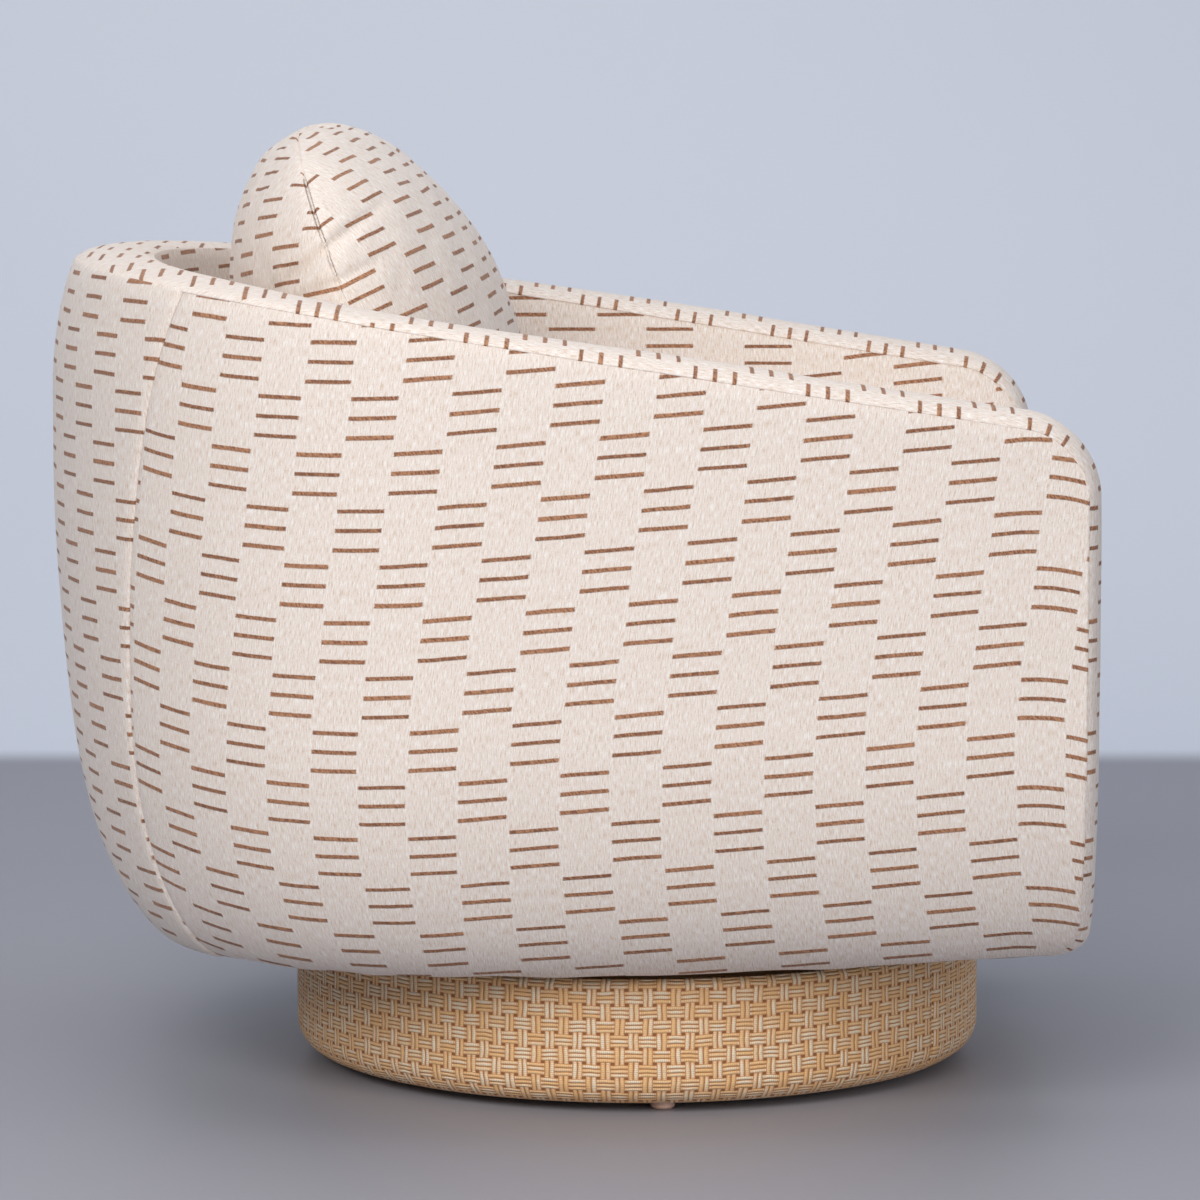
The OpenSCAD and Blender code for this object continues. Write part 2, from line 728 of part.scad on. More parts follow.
module pivot_bushings() {
    color("#e8e4d6") both_sides() difference() {
        union() {
            along_x(0, ear_in, ear_out, bush_radius);
            along_x(0, ear_in - bush_flange, ear_in, bush_rim);
            along_x(0, ear_out, ear_out + bush_flange, bush_rim);
        }
        along_x(0, bracket_out, clip_in + over, shaft_radius + run_gap);
    }
}
module mount_bolts() {
    color("#b7b9bc") corners(mount_bolt_x, mount_bolt_y) union() {
        rod(bolt_head, top_plate_low - bolt_head_thick, top_plate_low);
        rod(base_bolt_radius, top_plate_low - seat_gap, seat_board_top + bolt_head_thick * 2);
    }
}
module mount_nuts() {
    color("#a9abae") corners(mount_bolt_x, mount_bolt_y) difference() {
        union() {
            rod(bolt_head * 1.3, seat_board_top, seat_board_top + plate_thick / 3);
            translate([0, 0, seat_board_top + plate_thick / 3])
                cylinder(h = bolt_head_thick, r = bolt_head, $fn = 6);
        }
        rod(base_bolt_radius + run_gap, seat_board_top - over, seat_board_top + bolt_head_thick * 3);
    }
}

// Frame outlines: each is a loop of points at depth under the outer surface at height z
level_steps = 44;
function level_t(i) = stop_t(layers_top) * (2 * i / level_steps - 1);
function level_point(t, x) = let(p = place(t, [x, 0])) [p.x, p.y];
function outline(z, depth) = [for (i = [0:level_steps]) level_point(level_t(i), under(level_t(i), z, depth))];
function outline_in(x) = [for (i = [0:level_steps]) level_point(level_t(i), x)];
function clip_front(points, y) = [for (p = points) [p.x, max(p.y, y)]];
frame_front = -arm_reach + layers_top + ply + seat_gap;

module bottom_frame() {
    edge = outline(frame_low, rib_in + layer_gap * 5);
    color("#c9a878") difference() {
        level_sheet(clip_front(edge, frame_front), frame_low, frame_top);
        rod(recess_radius, frame_low - over, frame_top + over);
    }
}
function seat_board_edge() = outline_in(rib_foot + seat_gap);
rail_thick_y = ply * 1.22;
front_rail_back = frame_front + rail_thick_y;
module seat_board() {
    color("#c9a878") difference() {
        level_sheet(clip_front(seat_board_edge(), front_rail_back), seat_board_low, seat_board_top);
        corners(mount_bolt_x, mount_bolt_y)
            rod(base_bolt_radius + run_gap, seat_board_low - over, seat_board_top + over);
    }
}
stringer_x = top_half_x + ply * 2;
stringer_height = ply * 1.5;
stringer_back = turn_reach + back_bow * 0.4;
module stringers() {
    color("#c29a68") for (s = [-1, 1])
        translate([s * stringer_x - rail_thick_y / 2, front_rail_back, seat_board_top])
            cube([rail_thick_y, stringer_back - front_rail_back, stringer_height]);
}
front_rail_half = half_width - front_taper - under(1, frame_top, rib_in) - seat_gap;
module front_rail() {
    color("#c29a68") translate([-front_rail_half, frame_front, frame_top])
        cube([2 * front_rail_half, rail_thick_y, rail_top - frame_top]);
}
module seat_rail() {
    inner_x = [
        for (i = [0:level_steps])
        let(t = level_t(i)) level_point(t, rail_in + rail_width + (back_swell - arm_swell) * back_part(t))
    ];
    loop = concat(
        clip_front(outline_in(rail_in), front_rail_back),
        [for (i = [level_steps:-1:0]) [inner_x[i].x, max(inner_x[i].y, front_rail_back)]]
    );
    color("#c29a68") level_sheet(loop, rail_low, rail_top);
}

// Ribs: upright boards across the wall at t
rib_steps = 12;
function rib_outline(t) =
    let(top = rim_z(plan(t).y) - rib_top, low = frame_top) concat(
        [for (i = [0:rib_steps]) let(z = mix(top, low, i / rib_steps)) [under(t, z, rib_in), z]],
        [
            [under(t, low, rib_in) + rib_depth, low],
            [under(t, low, rib_in) + rib_depth, seat_board_low - seat_gap],
            [rib_foot, seat_board_low - seat_gap], [rib_foot, rail_top],
            [rib_back + rim_inset(t), rail_top], [rib_back + rim_inset(t), top]
        ]
    );
module rib(t) {
    way_angle = atan2(way(t).y, way(t).x);
    translate([plan(t).x, plan(t).y, 0]) rotate([0, 0, way_angle]) rotate([90, 0, 0])
        translate([0, 0, -ply / 2]) linear_extrude(ply)
            polygon([for (p = rib_outline(t)) [-p.x, p.y]]);
}
back_rib_share = 0.8;
back_rib_steps = [-2, -1, 0, 1, 2];
arm_rib_steps = [2, 4, 6, 8];
module ribs() {
    color("#c9a878") for (i = back_rib_steps) rib(seam_share * back_rib_share * i / 2);
    color("#c9a878") for (s = [-1, 1]) for (i = arm_rib_steps) rib(arm_t(s, i, 1));
}
// Arm front posts: boards square to the chair's front
post_steps = 14;
post_top = rim_z(-arm_reach + layers_top, layers_top);
post_in = wall - cloth - pad_thick;
post_out = rib_in + layer_gap * 3;
function post_outline() = concat(
    [for (i = [0:post_steps]) let(z = mix(post_top, frame_top, i / post_steps)) [under(1, z, post_out), z]],
    [for (i = [post_steps:-1:0]) let(z = mix(post_top, frame_top, i / post_steps)) [inset(1, z) + post_in, z]]
);
module arm_front_posts() {
    color("#c9a878") for (s = [0, 1]) mirror([s, 0, 0])
        translate([half_width - front_taper, frame_front - seat_gap, 0]) rotate([90, 0, 0])
            linear_extrude(ply) polygon([for (p = post_outline()) [-p.x, p.y]]);
}

// Path of the wall's edge: up one arm front, around the rim, and down the other
front_steps = 6;
rim_stations = concat(
    [[-stop_t(foot_round), 1]],
    [for (i = [arm_main + 1:arm_columns - 1]) [arm_t(-1, i, 1), 1]],
    [for (i = [front_steps:-1:1]) [-1, i / front_steps]],
    [for (i = [arm_columns:-1:1]) [arm_t(-1, i, 0), 0]],
    [for (i = [0:back_columns]) [back_t(i, 0), 0]],
    [for (i = [1:arm_columns]) [arm_t(1, i, 0), 0]],
    [for (i = [1:front_steps]) [1, i / front_steps]],
    [for (i = [arm_columns - 1:-1:arm_main + 1]) [arm_t(1, i, 1), 1]],
    [[stop_t(foot_round), 1]]
);
band_half = wall / 2;
function edge_point(s) =
    let(p = profile(s[0], s[1])) place(s[0], [p.x + band_half, p.y]);
edge_path = [for (s = rim_stations) edge_point(s)];
edge_count = len(edge_path);
function edge_out(i) =
    let(
        a = edge_path[max(0, i - 1)], b = edge_path[min(edge_count - 1, i + 1)],
        w = way(rim_stations[i][0]), c = cross(b - a, [w.x, w.y, 0])
    ) c / norm(c);
function edge_across(i, s) =
    let(w = way(rim_stations[i][0])) edge_path[i] - s * band_half * [w.x, w.y, 0];
band_steps = 4;
function crown_point(i, s, low) =
    let(crown = mix(back_crown, band_crown, min(1, abs(rim_stations[i][0]) / turn_share)))
        edge_across(i, s) + edge_out(i) * (crown * (1 - pow(abs(s), 2.2)) - low);
function band_ring(i, from, to) = concat(
    [for (k = [-band_steps:band_steps]) crown_point(i, k / band_steps, from)],
    [for (k = [band_steps:-1:-band_steps]) crown_point(i, k / band_steps, to)]
);
module rim_band() {
    color("#d8c3a0") swept([
        for (i = [0:edge_count - 1]) band_ring(i, -seat_gap - cloth, -seat_gap)
    ]);
}
pad_share = 1 - 2 * (cloth + layer_gap * 3) / wall;
pad_foot_share = 1 - 2 * (cloth + wadding) / wall;
function pad_side(i) = rim_stations[i][1] == 1 ? pad_foot_share : pad_share;
module rim_padding() {
    color("#efece4") swept([
        for (i = [0:edge_count - 1]) concat(
            [
                for (k = [-band_steps:band_steps])
                crown_point(i, pad_side(i) * k / band_steps, seat_gap)
            ],
            [for (s = [1, -1]) edge_across(i, s * pad_side(i)) - edge_out(i) * rim_pad_low]
        )
    ]);
}
rail_places = [
    for (i = [0:edge_count - 1])
    if (rim_stations[i][1] == 0 && edge_path[i].y > frame_front + layer_gap) i
];
module rim_rail() {
    color("#c29a68") swept([
        for (i = rail_places)
        let(out = (rib_in - wall / 2) / band_half, in = (rib_back - layer_gap * 5 - wall / 2) / band_half) [
            for (c = [[out, rim_rail_top], [in, rim_rail_top], [in, rim_rail_low], [out, rim_rail_low]])
            edge_across(i, c[0]) - edge_out(i) * c[1]
        ]
    ]);
}

// Outer layers: the cover reaches the band's seams, and what lies under it stops below the padding
module arm_layer(side, from, to, g = 0) {
    slab(
        function(i, j) shell(arm_t(side, i, j / rows, g), j / rows, side > 0 ? from : to, g),
        function(i, j) shell(arm_t(side, i, j / rows, g), j / rows, side > 0 ? to : from, g),
        arm_columns, rows
    );
}
module back_layer(from, to, g = 0) {
    slab(
        function(i, j) shell(back_t(i, j / rows), j / rows, from, g),
        function(i, j) shell(back_t(i, j / rows), j / rows, to, g),
        back_columns, rows
    );
}
module arm_outer_boards() {
    color("#b58b5a") for (s = [-1, 1]) arm_layer(s, board_in, board_in + board, layers_top);
}
module back_outer_board() {
    color("#b58b5a") back_layer(board_in, board_in + board, layers_top);
}
module arm_wadding() {
    color("#f2f0ea") for (s = [-1, 1]) arm_layer(s, wadding_in, wadding_in + wadding, layers_top);
}
module back_wadding() {
    color("#f2f0ea") back_layer(wadding_in + seat_gap, wadding_in + wadding, layers_top);
}
module outside_arm_left() {
    color("#dccab0") arm_layer(1, 0, cloth);
}
module outside_arm_right() {
    color("#dccab0") arm_layer(-1, 0, cloth);
}
module outside_back() {
    color("#dccab0") back_layer(0, cloth);
}

// Inner layers
inner_seam_share = 0.5;
inner_stop = arm_reach + frame_front;
inner_count = 2 * arm_columns + back_columns;
function inner_arm_t(side, i, g) = arm_t(side, i, inner_seam_share, g);
function inner_t(i, g) =
    i < arm_columns ? inner_arm_t(-1, arm_columns - i, g)
        : i <= arm_columns + back_columns ? back_t(i - arm_columns, inner_seam_share)
            : inner_arm_t(1, i - arm_columns - back_columns, g);
function behind(t, w, x) = place(t, [x + rim_inset(t), inner_drop(t, w, layers_top)]);
module inner_board() {
    color("#b58b5a") slab(
        function(i, j) behind(inner_t(i, inner_stop), j / inner_rows, inner_board_back),
        function(i, j) behind(inner_t(i, inner_stop), j / inner_rows, inner_board_front),
        inner_count, inner_rows
    );
}
module foam_piece(station, columns) {
    slab(
        function(i, j) behind(station(i), j / inner_rows, foam_back),
        function(i, j) inner(station(i), j / inner_rows, foam_front, layers_top),
        columns, inner_rows
    );
}
module inside_piece(station, columns) {
    slab(
        function(i, j) inner(station(i), j / inner_rows, cloth),
        function(i, j) inner(station(i), j / inner_rows, 0),
        columns, inner_rows
    );
}
module arm_foam_left() {
    color("#f0e6b8") foam_piece(function(i) inner_arm_t(1, i, inner_stop), arm_columns);
}
module arm_foam_right() {
    color("#f0e6b8") foam_piece(
        function(i) inner_arm_t(-1, arm_columns - i, inner_stop), arm_columns
    );
}
module back_foam() {
    color("#f0e6b8") foam_piece(function(i) back_t(i, inner_seam_share), back_columns);
}
module inside_arm_left() {
    color("#dccab0") inside_piece(function(i) inner_arm_t(1, i, 0), arm_columns);
}
module inside_arm_right() {
    color("#dccab0") inside_piece(function(i) inner_arm_t(-1, arm_columns - i, 0), arm_columns);
}
module inside_back() {
    color("#dccab0") inside_piece(function(i) back_t(i, inner_seam_share), back_columns);
}

// Front between the arms: a padded border with a round lower edge
border_steps = 8;
border_lip = lip_line(-arm_reach);
border_shoulder = inner_foot - seat_gap;
function border_half(z) =
    plan(1).x - (z < border_shoulder ? inset(1, z) + wall : inner_inset(1, 1)) - seat_gap;
// How far round the lower edge each of its lines lies, level with the rim band's own corners
function border_turn(k) =
    acos(1 - min(foot_round, arm_round * (1 - cos(90 * k / arm_corner))) / foot_round);
function border_height(j) =
    j == 0 ? deck_height
        : j == 1 ? border_shoulder
            : mix(border_shoulder - layer_gap, border_lip + foot_round, (j - 2) / (border_steps - 2));
// The border's section as [y, z], at depth under its face
function border_section(j, depth) =
    j <= border_steps
        ? [-arm_reach + depth, border_height(j)]
        : let(a = 180 + border_turn(j - border_steps), r = foot_round - depth)
            [-arm_reach + foot_round + r * cos(a), border_lip + foot_round + r * sin(a)];
function border_point(i, j, depth) =
    let(p = border_section(j, depth)) [(i - 1) * border_half(border_section(j, 0).y), p.x, p.y];
module front_border() {
    color("#dccab0") slab(
        function(i, j) border_point(i, j, cloth), function(i, j) border_point(i, j, 0),
        2, border_steps + arm_corner
    );
}
module front_padding() {
    low = frame_top + seat_gap;
    high = inner_foot - seat_gap;
    edge = [
        for (j = [0:border_steps]) let(z = mix(high, low, j / border_steps))
        [border_half(z) - layer_gap * 2, z]
    ];
    loop = concat(edge, [for (j = [border_steps:-1:0]) [-edge[j].x, edge[j].y]]);
    front = -arm_reach + cloth + layer_gap;
    color("#f0e6b8") translate([0, frame_front - layer_gap, 0]) rotate([90, 0, 0])
        linear_extrude(frame_front - layer_gap - front) polygon(loop);
}

// Seat springs: zigzag wires from the front rail to the seat rail's back
seat_spring_places = [-1.5, -0.5, 0.5, 1.5];
seat_spring_pitch = half_width * 0.25;
seat_spring_half = seat_spring_pitch * 0.22;
seat_bend_count = 22;
bend_steps = 4;
seat_spring_front = frame_front + rail_thick_y / 2;
// The seat rail's middle, ahead of the inside back, at x
rail_strip = rail_in + rail_width + back_swell - arm_swell - inner_inset(0, 1);
function seat_spring_back(x) =
    let(deep = inner_inset(0, 1) + rail_strip / 2, half = half_width - wall - arm_swell - rail_strip / 2)
        turn_reach + (back_bow - deep) * pow(1 - pow(abs(x) / half, plan_power), 1 / plan_power);
spring_wire_low = rail_top + clip_wall + seat_gap;
// Middle of the wire: a bar across, then a half turn to the next bar
function wire_path(back) =
    let(pitch = (back - seat_spring_front) / seat_bend_count, r = pitch / 2) concat(
        [[-seat_spring_half, seat_spring_front]],
        [
            for (k = [0:seat_bend_count - 1]) for (q = [0:bend_steps])
            let(s = k % 2 == 0 ? 1 : -1, a = -90 + 180 * q / bend_steps) [
                s * (seat_spring_half - r + r * cos(a)), seat_spring_front + (k + 0.5) * pitch + r * sin(a)
            ]
        ],
        [[(seat_bend_count % 2 == 0 ? 1 : -1) * seat_spring_half, back]]
    );
function side_of(path, i, d) =
    let(
        a = path[max(0, i - 1)], b = path[min(len(path) - 1, i + 1)], w = b - a
    ) path[i] + d * [-w.y, w.x] / norm(w);
function thick(path, half) = concat(
    [for (i = [0:len(path) - 1]) side_of(path, i, half)],
    [for (i = [len(path) - 1:-1:0]) side_of(path, i, -half)]
);
module seat_springs() {
    color("#6d7074") for (k = seat_spring_places) let(x = k * seat_spring_pitch)
        translate([x, 0, spring_wire_low]) linear_extrude(seat_wire)
            polygon(thick(wire_path(seat_spring_back(x)), seat_wire / 2));
}
// A clip holds each wire's end bar: its section is open towards the seat's middle
clip_half = seat_wire;
module clip(way) {
    deep = seat_wire / 2 + clip_wall + seat_gap;
    slot = seat_wire / 2 + seat_gap;
    translate([-clip_half, 0, rail_top]) rotate([90, 0, 90]) linear_extrude(2 * clip_half) polygon([
        [-way * deep, 0], [way * slot, 0], [way * slot, clip_wall], [-way * slot, clip_wall],
        [-way * slot, clip_height - clip_wall], [way * slot, clip_height - clip_wall],
        [way * slot, clip_height], [-way * deep, clip_height]
    ]);
}
module spring_clips() {
    color("#8c8f93") for (k = seat_spring_places) translate([k * seat_spring_pitch, 0, 0]) {
        translate([0, seat_spring_front, 0]) clip(1);
        translate([0, seat_spring_back(k * seat_spring_pitch), 0]) clip(-1);
    }
}
module deck_cloth() {
    edge = [
        for (i = [0:inner_count])
        let(t = inner_t(i, inner_stop)) level_point(t, inner_inset(t, 1) + layer_gap)
    ];
    color("#1d1d1f") level_sheet(edge, deck_height - cloth, deck_height);
}
module dust_cloth() {
    edge = outline(frame_low, rib_in + layer_gap * 9);
    color("#1d1d1f") difference() {
        level_sheet(clip_front(edge, frame_front), frame_low - cloth, frame_low);
        rod(recess_radius, frame_low - cloth - over, frame_low + over);
    }
}

// Seat cushion: rings scaled about its middle, closed by a point below and above
cushion_low = deck_height + seat_gap;
cushion_sag = cushion_crown * 0.3;
cushion_front = -arm_reach + cloth * 3;
cushion_corner = foot_round * 0.9;
cushion_corner_steps = 3;
cushion_front_steps = 6;
function cushion_side(t) = level_point(t, inner_inset(t, 1) + layer_gap * 2);
cushion_stations = [
    for (i = [0:inner_count]) let(t = inner_t(i, 0))
    if (cushion_side(t).y > cushion_front + cushion_corner + layer_gap) t
];
cushion_half = cushion_side(stop_t(arm_reach + cushion_front + cushion_corner)).x - layer_gap;
cushion_outline = concat(
    [for (t = cushion_stations) cushion_side(t)],
    [
        for (q = [0:cushion_corner_steps]) let(a = -90 * q / cushion_corner_steps)
        [cushion_half - cushion_corner, cushion_front + cushion_corner]
            + cushion_corner * [cos(a), sin(a)]
    ],
    [
        for (q = [1:cushion_front_steps - 1])
        [(cushion_half - cushion_corner) * (1 - 2 * q / cushion_front_steps), cushion_front]
    ],
    [
        for (q = [0:cushion_corner_steps]) let(a = -90 - 90 * q / cushion_corner_steps)
        [-cushion_half + cushion_corner, cushion_front + cushion_corner]
            + cushion_corner * [cos(a), sin(a)]
    ]
);
cushion_shares = [0.3, 0.55, 0.75, 0.9];
function face_ease(s) = 1 - pow(s, 2.6);
function cushion_ring(s, draw, z) = [
    for (k = [len(cushion_outline) - 1:-1:0])
    let(p = cushion_outline[k], q = p * s * (1 - draw / norm(p))) [q.x, q.y, z]
];
seam_low = cushion_low + cushion_sag;
seam_high = seam_low + cushion_edge;
cushion_top = seam_high + cushion_crown;
function cushion_rings() = concat(
    [for (s = cushion_shares) cushion_ring(s, cushion_draw, seam_low - cushion_sag * face_ease(s))],
    [
        for (q = [0:4]) let(z = mix(seam_low, seam_high, q / 4))
        cushion_ring(1, cushion_draw * pow(abs(q - 2) / 2, 2), z)
    ],
    [
        for (k = [len(cushion_shares) - 1:-1:0]) let(s = cushion_shares[k])
        cushion_ring(s, cushion_draw, seam_high + cushion_crown * face_ease(s))
    ]
);
module seat_cushion() {
    color("#dccab0") closed_rings([0, 0, cushion_low], cushion_rings(), [0, 0, cushion_top]);
}

// Back pillow: a knife-edged cushion that leans on the inside back and stands on the seat cushion
pillow_lean = 20;
pillow_up = [0, sin(pillow_lean), cos(pillow_lean)];
pillow_front = [0, -cos(pillow_lean), sin(pillow_lean)];
pillow_mid = [0, turn_reach + back_bow * 0.244, cushion_top + pillow_height * 0.443];
pillow_steps = 36;
pillow_shares = [0.25, 0.48, 0.67, 0.82, 0.93];
pillow_power = 3;
function pillow_edge(a) =
    let(r = pow(pow(abs(cos(a)), pillow_power) + pow(abs(sin(a)), pillow_power), -1 / pillow_power))
        [cos(a) * r * pillow_length / 2, sin(a) * r * pillow_height / 2];
// How far the cushion's outline lies from its middle, towards the point q
function reach_over(q, p1, p2) =
    let(d = p2 - p1, c = cross(q, d), r = c == 0 ? 0 : cross(p1, d) / c, s = r * q - p1)
        c != 0 && r > 0 && s * d >= 0 && s * d <= d * d ? r : 0;
function outline_reach(q) = max([
    for (k = [0:len(cushion_outline) - 1])
    reach_over(q, cushion_outline[k], cushion_outline[(k + 1) % len(cushion_outline)])
]);
function seat_z(x, y) =
    let(q = abs(x) + abs(y) > 0 ? [x, y] : [0, 1], s = min(1, 1 / outline_reach(q)))
        seam_high + cushion_crown * face_ease(s);
// Inside back's face at x and z, as a bow like the shell's own
function inside_y(x, z) =
    let(
        w = min(1, max(0, (rim_z(back_y) - z) / (rim_z(back_y) - inner_foot))),
        deep = inner_inset(0, w) + layer_gap * 4,
        half = half_width - wall - arm_swell
    ) turn_reach + (back_bow - deep) * pow(max(0, 1 - pow(abs(x) / half, plan_power)), 1 / plan_power);
function pillow_seat(p) =
    let(y = min(p.y, inside_y(p.x, p.z))) [p.x, y, max(p.z, seat_z(p.x, y) + layer_gap)];
function pillow_point(a, s, side) =
    let(e = pillow_edge(a), deep = side * pillow_depth / 2 * pow(1 - pow(s, 2.4), 0.6))
        pillow_seat(pillow_mid + [e.x * s, 0, 0] + pillow_up * e.y * s + pillow_front * deep);
function pillow_ring(s, side) =
    [for (k = [0:pillow_steps - 1]) pillow_point(360 * k / pillow_steps, s, side)];
module back_pillow() {
    color("#dccab0") closed_rings(
        pillow_point(0, 0, -1),
        concat(
            [for (s = pillow_shares) pillow_ring(s, -1)],
            [pillow_ring(1, 1)],
            [for (k = [len(pillow_shares) - 1:-1:0]) pillow_ring(pillow_shares[k], 1)]
        ),
        pillow_point(0, 0, 1)
    );
}

// Half of how much further the chair reaches behind the swivel axis than ahead of it
length_middle = (back_y - arm_reach - band_crown - cloth - seat_gap) / 2;
module placed() {
    translate([0, -length_middle, 0]) children();
}

placed() glides();
placed() glide_screws();
placed() plinth_bottom_ring();
placed() plinth_blocks();
placed() plinth_wall();
placed() plinth_top_board();
placed() plinth_padding();
placed() plinth_cover();
placed() swivel_lower_plate();
placed() base_bolts();
placed() base_tee_nuts();
placed() king_pin();
placed() ball_cage();
placed() bearing_balls();
placed() swivel_upper_plate();
placed() pivot_brackets();
placed() bracket_bolts();
placed() rocker_shaft();
placed() shaft_clips();
placed() spring_seats();
placed() rock_stops();
placed() rock_springs_front();
placed() rock_springs_rear();
placed() rocker_top_plate();
placed() pivot_bushings();
placed() spring_caps();
placed() mount_bolts();
placed() mount_nuts();
placed() bottom_frame();
placed() seat_board();
placed() stringers();
placed() front_rail();
placed() seat_rail();
placed() ribs();
placed() arm_front_posts();
placed() rim_rail();
placed() seat_springs();
placed() spring_clips();
placed() deck_cloth();
placed() dust_cloth();
placed() arm_outer_boards();
placed() back_outer_board();
placed() arm_wadding();
placed() back_wadding();
placed() outside_arm_left();
placed() outside_arm_right();
placed() outside_back();
placed() inner_board();
placed() arm_foam_left();
placed() arm_foam_right();
placed() back_foam();
placed() inside_arm_left();
placed() inside_arm_right();
placed() inside_back();
placed() rim_padding();
placed() rim_band();
placed() front_padding();
placed() front_border();
placed() seat_cushion();
placed() back_pillow();
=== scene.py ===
# %% [markdown]
# # A swivel rocker in woven cloth
# This file dresses a deep tub chair. The frame of plywood, springs and steel comes from
# the CAD model and is never moved. The cloth covers, the cushions and every finish are
# made here, in metres, in the same place as the CAD solids.

import bmesh
import bpy
import math
from mathutils import Matrix, Vector, noise
from mathutils.bvhtree import BVHTree


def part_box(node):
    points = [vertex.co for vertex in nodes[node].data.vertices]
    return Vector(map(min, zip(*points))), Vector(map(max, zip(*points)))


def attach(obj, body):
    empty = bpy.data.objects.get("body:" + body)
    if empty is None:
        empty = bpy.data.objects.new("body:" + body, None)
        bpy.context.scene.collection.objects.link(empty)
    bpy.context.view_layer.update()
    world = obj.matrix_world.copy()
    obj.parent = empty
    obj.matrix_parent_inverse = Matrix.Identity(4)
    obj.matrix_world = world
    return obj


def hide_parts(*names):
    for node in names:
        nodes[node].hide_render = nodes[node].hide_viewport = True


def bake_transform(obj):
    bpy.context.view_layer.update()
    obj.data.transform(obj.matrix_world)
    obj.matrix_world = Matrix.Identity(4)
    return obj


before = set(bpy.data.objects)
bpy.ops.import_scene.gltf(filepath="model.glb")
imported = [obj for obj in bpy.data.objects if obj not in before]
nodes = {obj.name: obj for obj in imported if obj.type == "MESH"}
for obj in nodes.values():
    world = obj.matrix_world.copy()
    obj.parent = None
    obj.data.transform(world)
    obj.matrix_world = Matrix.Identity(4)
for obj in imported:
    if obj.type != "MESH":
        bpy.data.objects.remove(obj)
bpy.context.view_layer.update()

# %% [markdown]
# ## The camera
# The chair was seen from its right side, from a little above, with a long lens. A long
# lens far away keeps the near and the far arm nearly the same size, so the camera stands
# 4.5 m off and has a narrow angle. It looks along +X and is pitched down by a few degrees.

# %% Camera
view = bpy.data.cameras.new("side_view")
view.sensor_width = 36
view.lens = 159.72
camera = bpy.data.objects.new("side_view", view)
camera.location = (-4.507, -0.0324, 0.894)
camera.rotation_euler = (math.radians(90 - 6.43), 0, math.radians(-90))
bpy.context.collection.objects.link(camera)
bpy.context.scene.camera = camera

# %% [markdown]
# ## Writing shaders as sums
# A shader is a graph of nodes, and a long sum drawn as nodes is hard to read. The small
# class below wraps a socket, so that `1 - mask * 0.5` adds its Math nodes by itself. All
# other nodes come from one method, `add`, which sets a node's choices first and its
# sockets after.


# %% A socket that can be used in sums
class Term:
    def __init__(self, tree, socket):
        self.tree, self.socket = tree, socket

    def math(self, operation, *terms):
        node = self.tree.nodes.new("ShaderNodeMath")
        node.operation = operation
        for place, term in zip(node.inputs, terms):
            plug(self.tree, place, term)
        return Term(self.tree, node.outputs[0])

    def __add__(self, other):
        return self.math("ADD", self, other)

    def __radd__(self, other):
        return self.math("ADD", other, self)

    def __sub__(self, other):
        return self.math("SUBTRACT", self, other)

    def __rsub__(self, other):
        return self.math("SUBTRACT", other, self)

    def __mul__(self, other):
        return self.math("MULTIPLY", self, other)

    def __rmul__(self, other):
        return self.math("MULTIPLY", other, self)

    def __truediv__(self, other):
        return self.math("DIVIDE", self, other)

    def floor(self):
        return self.math("FLOOR", self)

    def remainder(self, whole):
        return self.math("FLOORED_MODULO", self, whole)

    def size(self):
        return self.math("ABSOLUTE", self)

    def sine(self):
        return self.math("SINE", self)


def plug(tree, place, term):
    if isinstance(term, Term):
        tree.links.new(term.socket, place)
    else:
        place.default_value = term


# %% A finish: one material and its shader
def linear(red, green, blue):
    """A colour as a screen shows it, 0 to 255, turned into the light that a shader mixes."""
    return (*[
        c / 12.92 if c <= 0.04045 else ((c + 0.055) / 1.055) ** 2.4
        for c in (red / 255, green / 255, blue / 255)
    ], 1)


